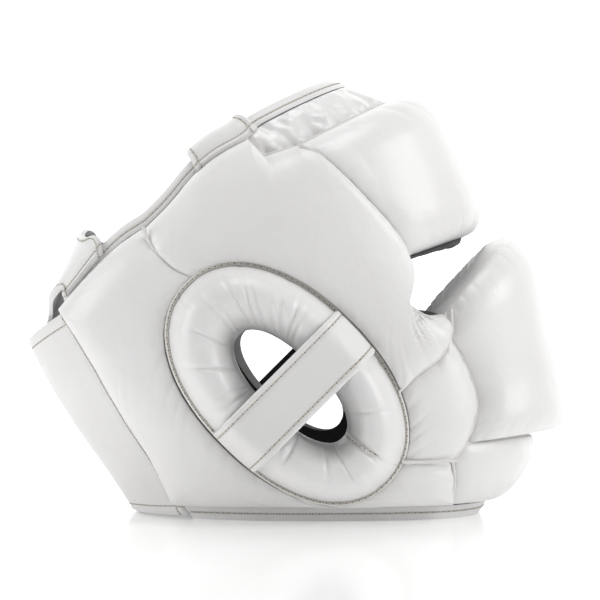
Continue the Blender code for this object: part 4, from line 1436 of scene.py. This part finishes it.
@dataclass
class EarStrap:
    """The flat strap across an ear oval: over its padding on both sides and straight over the hole."""

    finishes: Finishes
    stitching: Stitching
    hand: Hand
    width: float = 0.029
    offset: float = 0.0057
    thickness: float = 0.0025
    gap: float = 0.0010
    backing_rows: tuple[int, int] = (26, 65)
    backing_gap: float = 0.0016

    def make(self) -> None:
        """Builds the strap and sews it."""
        p = self.offset + np.linspace(-0.5, 0.5, 25)[None] * self.width
        in_oval = np.abs(2 * p / OVAL.length)
        half_outer = OVAL.width / 2 * (1 - in_oval**OVAL.exponent) ** (1 / OVAL.exponent)
        in_hole = np.clip(np.abs(2 * p / OVAL.hole_length), 0, 1)
        half_hole = OVAL.hole_width / 2 * (1 - in_hole**OVAL.exponent) ** (1 / OVAL.exponent)
        share = 0.955 * np.sin(np.linspace(-math.pi / 2, math.pi / 2, 91))[:, None]
        q = share * half_outer
        t = (half_outer - np.abs(q)) / (half_outer - half_hole)
        height = np.where(t < 0.5, OVAL.arch(t), 1.0)
        x, z = OVAL.framed(p + 0 * q, q)
        foot = OVAL.foot(x, z)
        y = foot + (OVAL.crest(x, z) - foot) * height + self.gap
        points = FORM.standing(np.stack([x, self.hand.value * y, z], axis=-1), FORWARD)
        node = f"ear_strap_{self.hand.word}"
        material, outward = self.finishes.strap, (0, self.hand.value, 0)
        strap = Strap(f"{node}_leather", points, self.thickness, material, outward, ends_folded=False)
        report(strap.built(), [node])
        strap.hem(self.stitching, ends=False)
        self.backing(points)

    def backing(self, points: Array) -> None:
        """The black cloth behind the strap, where it crosses the hole."""
        inward = np.array([0.0, -self.hand.value * self.backing_gap, 0.0])
        middle = points[slice(*self.backing_rows)] + inward
        name = f"ear_strap_backing_{self.hand.word}"
        report(shell(name, middle, middle - inward * 0.6, self.finishes.lining))


@dataclass
class Piping:
    """The rolled seams between the pads: a thin leather cord at the bottom of each groove, coloured darker
    than the pads as painted shade of the groove.
    """

    finishes: Finishes
    stitching: Stitching
    radius: float = 0.0009
    ring_radius: float = 0.0013
    ring_inset: float = 0.0002
    ring_rise: float = 0.0002
    sink: float = 0.0012

    def make(self) -> None:
        """Lays the cords of both sides, and the one under the face bar."""
        for hand in Hand:
            self.side(hand)
        self.middle()

    def lift(self, turn: Array, hem: Hem, thickness: float = SIZES.side_pad) -> Array:
        """How far out a cord lies beside its pads.

        Args:
            turn: the cord's turns.
            hem: the hem of the pads.
            thickness: how thick the pads are.

        Returns:
            The lift at each turn.
        """
        bounds = [SIZES.temple_swell_full, SIZES.temple_swell_from]
        swell = np.interp(turn, bounds, [SIZES.temple_swell, 0]) if thickness == SIZES.side_pad else 0.0
        return SIZES.floor + (thickness + swell - SIZES.floor) * hem.left - self.sink

    def cord(self, name: str, points: Array, radius: float, closed: bool = False) -> None:
        """A cord through points of the head's frame.

        Args:
            name: the piece's name.
            points: its middle line.
            radius: half its thickness.
            closed: whether its end meets its start.
        """
        line = bpy.data.curves.new(name, "CURVE")
        line.dimensions = "3D"
        line.bevel_depth = radius
        line.bevel_resolution = 3
        line.use_fill_caps = not closed
        spline = line.splines.new("POLY")
        spline.points.add(len(points) - 1)
        spline.points.foreach_set("co", np.c_[FORM.standing(points, FORWARD), np.ones(len(points))].ravel())
        spline.use_cyclic_u = closed
        piece = bpy.data.objects.new(name, line)
        bpy.context.scene.collection.objects.link(piece)
        bpy.ops.object.select_all(action="DESELECT")
        piece.select_set(True)
        bpy.context.view_layer.objects.active = piece
        bpy.ops.object.convert(target="MESH")
        piece = bpy.context.object
        piece.data.materials.clear()
        piece.data.materials.append(self.finishes.piping)
        piece.data.shade_smooth()
        report(piece)

    def seam(
        self, name: str, spots: Array, hem: Hem, hand: Hand, deeper: float = 0.0, from_ring: bool = False
    ) -> None:
        """A cord along a border between two pads.

        Args:
            name: the border's name.
            spots: its spots.
            hem: the hem of the pads beside it.
            hand: the side that it is on.
            deeper: how much deeper than its neighbours it lies.
            from_ring: whether it starts on the ear oval, where the pads lean towards the oval.
        """
        lift = self.lift(spots[:, 0], hem) - deeper
        points = FORM.place(spots[:, 0], spots[:, 1], lift, hand)
        if from_ring:
            aside = (points[:1] - FORM.place(*spots[0], 0.0, hand)) * [1, 0, 1]
            away = np.concatenate([[0], np.cumsum(np.linalg.norm(np.diff(points, axis=0), axis=1))])
            points = points - aside * np.clip(1 - away / RING_LEAN, 0, 1)[:, None] ** 2
        self.cord(f"piping_{name}_{hand.word}", points, self.radius)

    def side(self, hand: Hand) -> None:
        """The cords of one side."""
        for name, border, angle in (
            ("behind_temple", BORDERS.behind_temple, ON_RING_BEHIND_TEMPLE),
            ("under_temple", BORDERS.under_temple, ON_RING_UNDER_TEMPLE),
            ("under_cheek", BORDERS.under_cheek, ON_RING_UNDER_CHEEK),
        ):
            self.seam(name, to_ring(border, angle), FLUSH, hand, from_ring=True)
        self.seam("forehead", run(BORDERS.forehead_seam), FLUSH, hand)
        self.seam("crown_edge", joined(run(BORDERS.crown_side), run(BORDERS.crown_edge)), AT_CROWN, hand)
        self.seam("bar_end", run(BORDERS.bar_end), SOFT, hand, deeper=0.0012)
        foot = joined(run(BORDERS.cheek_foot), run(BORDERS.chin_seam))
        self.seam("cheek_foot", foot, SOFT, hand, deeper=0.0014)
        self.round_ear(hand)

    def round_ear(self, hand: Hand) -> None:
        """The stitched cord round the ear oval."""
        angle = np.linspace(0, 360, 181)[:-1]
        x, z = OVAL.outline(angle, grow=-self.ring_inset)
        high = OVAL.foot(x, z) + (SIZES.side_pad - SIZES.floor) * AT_RING.left + self.ring_rise
        points = np.stack([x, hand.value * high, z], axis=-1)
        self.cord(f"piping_round_ear_{hand.word}", points, self.ring_radius, closed=True)
        out = np.tile([0.0, hand.value, 0.0], (len(points) + 1, 1))
        line = np.concatenate([points, points[:1]]) + out * self.ring_radius
        self.stitching.sew(FORM.standing(line, FORWARD), out)

    def middle(self) -> None:
        """The cords across the middle: under the bar and over the forehead."""
        foot = both_ways(run(BORDERS.bar_foot))
        lift = self.lift(foot[:, 0], FLUSH, SIZES.chin_pad)
        self.cord("piping_bar_foot", FORM.place(foot[:, 0], foot[:, 1], lift), self.radius)
        top = both_ways(run(BORDERS.forehead_top))
        lift = np.full(len(top), SIZES.floor + SIZES.crown_panel * 0.8)
        self.cord("piping_forehead_top", FORM.place(top[:, 0], top[:, 1], lift), self.radius)


def rim_line(step: float = 0.0022) -> Array:
    """The whole rim on one side, from the rear to the middle of the front, as spots."""
    whole = joined(run(BORDERS.rim_rear), run(BORDERS.rim_side), run(BORDERS.rim_front))
    length = np.linalg.norm(np.diff(FORM.unrolled(whole), axis=0), axis=1).sum()
    return resample(whole, np.linspace(0, 1, round(length / step) + 1))


@dataclass
class Bands:
    """The two bound edges: round the crown opening and round the neck."""

    finishes: Finishes
    stitching: Stitching
    rows: int = 10
    rim_seam: float = 0.42
    neck_seam: float = 0.55

    def make(self) -> None:
        """Builds and sews both bands."""
        self.rim()
        self.neck()

    def bound(self, name: str, spots: Array, thickness: float, section: Array, node: str, at: float) -> None:
        """A band over a grid of spots, with one row of stitches.

        Args:
            name: the piece's name.
            spots: the band's grid, its rows from the pads outward.
            thickness: how thick it is.
            section: its cross-section by rows, as shares of the thickness.
            node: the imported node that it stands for.
            at: the stitches' place, as a share of the way over the rows.
        """
        inner = FORM.place(spots[..., 0], spots[..., 1], 0.0)
        ripple = 0.00035 * Noise(101).at(inner, 0.009)
        outer = FORM.place(spots[..., 0], spots[..., 1], section[None] * thickness + ripple)
        inner, outer = FORM.standing(inner, FORWARD), FORM.standing(outer, FORWARD)
        report(shell(name, inner, outer, self.finishes.strap), [node])
        out = normals(outer, inner)
        self.stitching.sew(grid_row(outer, at), grid_row(out, at))

    def rim(self) -> None:
        """The band round the crown opening."""
        low = both_ways(rim_line()) + [0, SIZES.lay_gap / FORM.height]
        v = np.linspace(0, 1, self.rows + 1)
        spots = low[:, None] + v[None, :, None] * np.array([0, SIZES.rim_band_height / FORM.height])
        sunk = 0.10 * np.exp(-(((v - self.rim_seam) / 0.10) ** 2))
        section = 0.55 + 0.45 * OVAL.arch(0.08 + 0.84 * v) - sunk
        self.bound("rim_band_leather", spots, SIZES.rim_band, section, "rim_band", self.rim_seam)

    def neck(self) -> None:
        """The band round the neck, flat underneath."""
        end = BORDERS.rear_edge[0][0] - SIZES.neck_band_short
        turns = np.linspace(-end, end, 241)
        v = np.linspace(0, 1, self.rows + 1)
        grid = [np.stack([turns, FORM.neck_level(turns, h * SIZES.neck_band_height)], axis=-1) for h in v]
        sunk = 0.06 * np.exp(-(((v - self.neck_seam) / 0.10) ** 2))
        section = 0.80 + 0.20 * OVAL.arch(0.5 * v + 0.05) - sunk
        spots = np.stack(grid, axis=1)
        self.bound("neck_band_leather", spots, SIZES.neck_band, section, "neck_band", self.neck_seam)


@dataclass
class RearStraps:
    """The wide closing strap across the back and the strap over the back of the crown."""

    finishes: Finishes
    stitching: Stitching
    thickness: float = 0.004
    standoff: float = 0.0035
    end_standoff: float = 0.0014
    drop: float = 0.003
    sag: float = 0.004
    crown_thickness: float = 0.003
    strap_gap: float = 0.0006
    foot: Spots = ((146.2, 0.207), (131.5, 0.255))
    foot_rise: float = 0.0080
    over: Sequence[Table] = (
        (-0.871, 0.665, 0.215, -0.580, 0.790, 0.300),
        (-0.915, 0.50, 0.190, -0.597, 0.650, 0.311),
        (-0.970, 0.27, 0.168, -0.590, 0.45, 0.320),
        (-0.990, 0.00, 0.160, -0.585, 0.00, 0.326),
    )

    def make(self) -> None:
        """Builds and sews both straps."""
        self.closing()
        self.crown()

    def closing(self) -> None:
        """The wide strap that closes the guard at the back."""
        v = np.linspace(0, 1, 41)[None]
        start = resample(run(BORDERS.rear_edge, count=30), v[0])[None, :, 0]
        start = start + math.degrees(SIZES.lay_gap / (FORM.length / 2))
        share = np.linspace(0, 1, 71)[:, None]
        turn = start + (360 - 2 * start) * share
        bow = np.sin(math.pi * share)
        low = FORM.neck_level(turn, SIZES.lay_gap + self.thickness * math.sin(FORM.tilt))
        top = BORDERS.rear_edge[-1][1] - (self.drop + self.sag * bow) / FORM.height
        lift = self.end_standoff + (self.standoff - self.end_standoff) * bow
        back = FORM.standing(FORM.place(turn, low + (top - low) * v, lift), FORWARD)
        strap = Strap("rear_strap_leather", back, self.thickness, self.finishes.strap, (-1, 0, 0), edge=0.006)
        report(strap.built(), ["rear_strap"])
        strap.hem(self.stitching)

    def crown(self) -> None:
        """The strap over the back of the crown: its ends lie over the rim band."""
        clear = SIZES.rim_band + self.strap_gap
        foot = run(self.foot, count=4)
        rise = np.linspace(0.55, 1, len(foot)) * self.foot_rise / FORM.height
        high = foot + np.c_[0 * rise, rise]
        lines = [FORM.place(foot[:, 0], foot[:, 1], clear), FORM.place(high[:, 0], high[:, 1], clear)]
        half = np.array([FORM.length / 2, FORM.width / 2, FORM.height])
        across = np.linspace(0, 1, 5)[:, None]
        for row in self.over:
            lower, upper = np.array(row[:3]) * half, np.array(row[3:]) * half
            lines.append(lower + (upper - lower) * across)
        near = np.stack(lines)
        far = near[:-1][::-1] * [1, -1, 1]
        back = FORM.standing(refined(np.concatenate([near, far]), 90, 24), FORWARD)
        material, outward = self.finishes.strap, (-0.5, 0, 1)
        strap = Strap("rear_crown_strap_leather", back, self.crown_thickness, material, outward)
        report(strap.built(), ["rear_crown_strap"])
        strap.hem(self.stitching)


@dataclass
class CrownStrap:
    """The strap over the top of the head, its ends turned down over the rim band."""

    finishes: Finishes
    stitching: Stitching
    middle: float = 0.215
    width: float = 0.037
    thickness: float = 0.003
    gap: float = 0.0006
    lip: float = -0.0010
    rise: float = 0.0018
    bow: float = 0.003

    def make(self) -> None:
        """Builds and sews the strap."""
        share = np.linspace(-0.5, 0.5, 7)
        forward = self.middle * FORM.length / 2 + share * self.width
        rim = rim_line()
        rim_points = FORM.place(rim[:, 0], rim[:, 1])
        order = np.argsort(rim_points[:, 0])
        level = np.interp(forward, rim_points[order, 0], rim_points[order, 2]) / FORM.height
        top = level + (SIZES.lay_gap + SIZES.rim_band_height) / FORM.height
        turn = FORM.turn_at(forward, level * FORM.height)
        clear = SIZES.rim_band + self.gap
        low = FORM.place(turn, top - (SIZES.rim_band_height - self.lip) / FORM.height, clear)
        high = FORM.place(turn, top, clear)
        bend = FORM.place(turn, top + self.rise / FORM.height, clear * 0.6)
        lines = [low, (low + high) / 2, high, bend]
        for inward in (0.8, 0.4, 0.0):
            line = bend.copy()
            line[:, 1] *= inward
            line[:, 2] += self.bow * (1 - inward**2)
            lines.append(line)
        near = np.stack(lines)
        far = near[:-1][::-1] * [1, -1, 1]
        back = FORM.standing(refined(np.concatenate([near, far]), 120, 24), FORWARD)
        strap = Strap("crown_strap_leather", back, self.thickness, self.finishes.strap, (0, 0, 1))
        report(strap.built(), ["crown_strap"])
        strap.hem(self.stitching)


@dataclass
class Linings:
    """The black cloth behind the pads, seen through the ear holes, the eye gap and the crown."""

    finishes: Finishes
    gap: float = 0.0016
    lip: float = 0.0055
    hole_grow: float = 0.0026
    hole_back: float = 0.0035
    forehead_hang: float = -0.0024
    forehead_lifts: tuple[float, float] = (0.003, 0.014)
    eye_hang: float = 0.0055
    eye_lifts: tuple[float, float] = (0.002, 0.013)
    eye_corner: float = 0.35

    def make(self) -> None:
        """Builds the four linings, and the rolls of lining that show past the pads."""
        for hand in Hand:
            self.side(hand)
        self.front()
        self.chin()
        low = both_ways(run(BORDERS.forehead_low))
        self.hem("forehead", low, self.forehead_hang, self.forehead_lifts)
        eye = run(BORDERS.eye_edge)
        corner = eye[round(self.eye_corner * len(eye)) :]
        for hand in Hand:
            self.hem(f"eye_{hand.word}", corner, self.eye_hang, self.eye_lifts, hand)

    def hem(
        self, name: str, border: Array, hang: float, lifts: tuple[float, float], hand: Hand = Hand.LEFT
    ) -> None:
        """The roll of lining that shows past a pad's edge.

        Args:
            name: what the edge belongs to.
            border: the pad's border.
            hang: how far the roll hangs past it, upward along the head.
            lifts: how far out the roll starts and ends.
            hand: the side that positive turns are on.
        """
        v = np.linspace(0, 1, 9)[None]
        turn, level = border[:, :1], border[:, 1:]
        bulge = np.sqrt(np.sin(math.pi * v)) * np.sin(math.pi * shares(border))[:, None] ** 0.5
        lift = lifts[0] + (lifts[1] - lifts[0]) * v
        wave = 1 + 0.25 * Noise(113).at(FORM.place(turn, level, lift, hand), 0.007)
        inner = FORM.place(turn, level - 0.2 * hang / FORM.height * bulge, lift, hand)
        outer = FORM.place(turn, level + hang / FORM.height * bulge * wave, lift, hand)
        inner, outer = FORM.standing(inner, FORWARD), FORM.standing(outer, FORWARD)
        report(shell(f"lining_hem_{name}_cloth", inner, outer, self.finishes.lining))

    def cloth(self, name: str, spots: Array, hand: Hand = Hand.LEFT, closed: bool = False) -> None:
        """A thin cloth pad over a grid of spots.

        Args:
            name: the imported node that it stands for.
            spots: the grid.
            hand: the side that positive turns are on.
            closed: whether the grid runs round and meets itself.
        """
        spots = drawn_in(spots, self.gap / 2, closed)
        if closed:
            spots[-1] = spots[0]
        inner = FORM.place(spots[..., 0], spots[..., 1], 0.0, hand)
        wave = 0.0004 * Noise(111).at(inner, 0.02)
        if closed:
            wave[-1] = wave[0]
        inner = FORM.place(spots[..., 0], spots[..., 1], wave, hand)
        outer = FORM.place(spots[..., 0], spots[..., 1], SIZES.lining, hand)
        inner, outer = FORM.standing(inner, FORWARD), FORM.standing(outer, FORWARD)
        piece = shell(f"{name}_cloth", inner, outer, self.finishes.lining, closed)
        report(piece, [name])

    def side(self, hand: Hand) -> None:
        """The lining of one side, open at the ear."""
        neck = neck_border(BORDERS.chin_seam[-1][0], BORDERS.rear_edge[0][0])
        chin_seam = run([*BORDERS.chin_seam[:-1], tuple(neck[0])])
        rear_edge = run([tuple(neck[-1]), *BORDERS.rear_edge[1:]])
        eye = run(BORDERS.eye_edge)
        eye[:, 1] += self.lip * np.sin(math.pi * shares(eye)) / FORM.height
        front = joined(run(BORDERS.crown_side), run(BORDERS.crown_edge), run(BORDERS.forehead_seam), eye)
        cheek = joined(run(BORDERS.bar_end), run(BORDERS.cheek_foot))
        outer = joined(rear_edge, run(BORDERS.rim_rear), run(BORDERS.rim_side), front, cheek, chin_seam, neck)
        way = FORM.unrolled(outer - np.array([90.0, -OVAL.drop / FORM.height]))
        bearings = np.degrees(np.unwrap(np.arctan2(way[:, 1], -way[:, 0]) - OVAL.angle))
        falling = np.minimum.accumulate(bearings)
        even = np.linspace(falling[0], falling[0] - 360, len(falling))
        x, z = OVAL.outline((falling + even) / 2, hole=True, grow=self.hole_grow)
        x, z = x - self.hole_back * math.cos(OVAL.angle), z - self.hole_back * math.sin(OVAL.angle)
        hole = np.stack([FORM.turn_at(x, z), z / FORM.height], axis=-1)
        v = crowded(20)[None, :, None]
        self.cloth(f"lining_{hand.word}", hole[:, None] * (1 - v) + outer[:, None] * v, hand, closed=True)

    def front(self) -> None:
        """The lining behind the forehead pad and the crown panel."""
        low, top = run(BORDERS.forehead_low, count=40), run(BORDERS.rim_front, count=40)
        low[:, 1] -= self.lip * np.sin(math.pi * (0.5 + 0.5 * shares(low))) / FORM.height
        borders = BORDERS.forehead_seam, BORDERS.crown_edge, BORDERS.crown_side
        side = joined(*[run(border)[::-1] for border in borders])
        spots = region(both_ways(low), both_ways(top), mirrored(side), side, shares(side))
        self.cloth("lining_front", spots)

    def chin(self) -> None:
        """The lining behind the chin pad."""
        half = joined(run(BORDERS.cheek_foot[::-1], count=5), run(BORDERS.bar_foot, count=35))
        low = resample(neck_border(BORDERS.chin_seam[-1][0], 0.0), shares(half))
        seam = run([tuple(low[0]), *BORDERS.chin_seam[:-1][::-1]])
        self.cloth("lining_chin", region(both_ways(low), both_ways(half), mirrored(seam), seam, crowded(12)))


@dataclass(frozen=True)
class Studio:
    """A white sweep, three large soft lights and the camera."""

    camera_at: tuple[float, float, float] = (0.0024, -1.5, 0.1156)
    lens: float = 163.6
    sensor: float = 36.0
    world: float = 0.36
    target: tuple[float, float, float] = (0.0, 0.0, 0.11)
    lamps: Sequence[tuple[str, tuple[float, float, float], float, float]] = (
        ("key", (1.4, -0.50, 0.80), 0.9, 11.0),
        ("rear", (-1.3, -0.35, 0.45), 0.8, 6.5),
        ("top", (0.0, -0.25, 1.5), 0.7, 6.5),
    )

    def make(self) -> None:
        """Sets up the light, the floor and the camera."""
        self.sky()
        self.sweep()
        for lamp in self.lamps:
            self.light(*lamp)
        self.camera()

    def sky(self) -> None:
        """Even white light from all round."""
        world = bpy.data.worlds.new("studio")
        world.use_nodes = True
        background = world.node_tree.nodes["Background"]
        background.inputs["Color"].default_value = (1.0, 1.0, 1.0, 1.0)
        background.inputs["Strength"].default_value = self.world
        bpy.context.scene.world = world
        bpy.context.scene.view_settings.view_transform = "Standard"

    def sweep(self) -> None:
        """The floor and the wall behind it, glowing a little so that they stay white."""
        for name, size, at, turned, glow in (
            ("floor", 8.0, (0, 0, 0), (0, 0, 0), 0.16),
            ("wall", 12.0, (0, 4.0, 2.0), (math.pi / 2, 0, 0), 1.0),
        ):
            bpy.ops.object.select_all(action="DESELECT")
            bpy.ops.mesh.primitive_plane_add(size=size, location=at, rotation=turned)
            plane = bpy.context.object
            plane.name = f"studio_{name}"
            bench = Bench(f"studio_{name}")
            bench.constant(Base_Color=(0.94, 0.94, 0.94, 1.0), Roughness=0.16, Emission_Color=(1, 1, 1, 1))
            bench.constant(Emission_Strength=glow)
            plane.data.materials.append(bench.material)

    def light(self, name: str, at: tuple[float, float, float], size: float, power: float) -> None:
        """A square area light that faces the guard."""
        lamp = bpy.data.lights.new(name, "AREA")
        lamp.size = size
        lamp.energy = power
        made = bpy.data.objects.new(name, lamp)
        made.location = at
        made.rotation_euler = (Vector(self.target) - Vector(at)).to_track_quat("-Z", "Y").to_euler()
        bpy.context.scene.collection.objects.link(made)

    def camera(self) -> None:
        """The camera at the photograph's viewing angle: level, square to the guard's right side."""
        lens = bpy.data.cameras.new("camera")
        lens.lens = self.lens
        lens.sensor_width = self.sensor
        made = bpy.data.objects.new("camera", lens)
        made.location = self.camera_at
        made.rotation_euler = (math.pi / 2, 0, 0)
        bpy.context.scene.collection.objects.link(made)
        bpy.context.scene.camera = made


def main() -> None:
    """Builds the guard and the studio."""
    logging.basicConfig(level=logging.INFO, format="%(name)s: %(message)s")
    Studio().make()
    finishes = Finishes()
    stitching = Stitching(finishes)
    for hand in Hand:
        SidePads(finishes, hand).make()
        EarRing(finishes, stitching, hand).make()
        EarStrap(finishes, stitching, hand).make()
    FrontPads(finishes).make()
    FaceBar(finishes).make()
    Piping(finishes, stitching).make()
    Bands(finishes, stitching).make()
    RearStraps(finishes, stitching).make()
    CrownStrap(finishes, stitching).make()
    Linings(finishes).make()
    stitching.make()


if __name__ == "__main__":
    main()
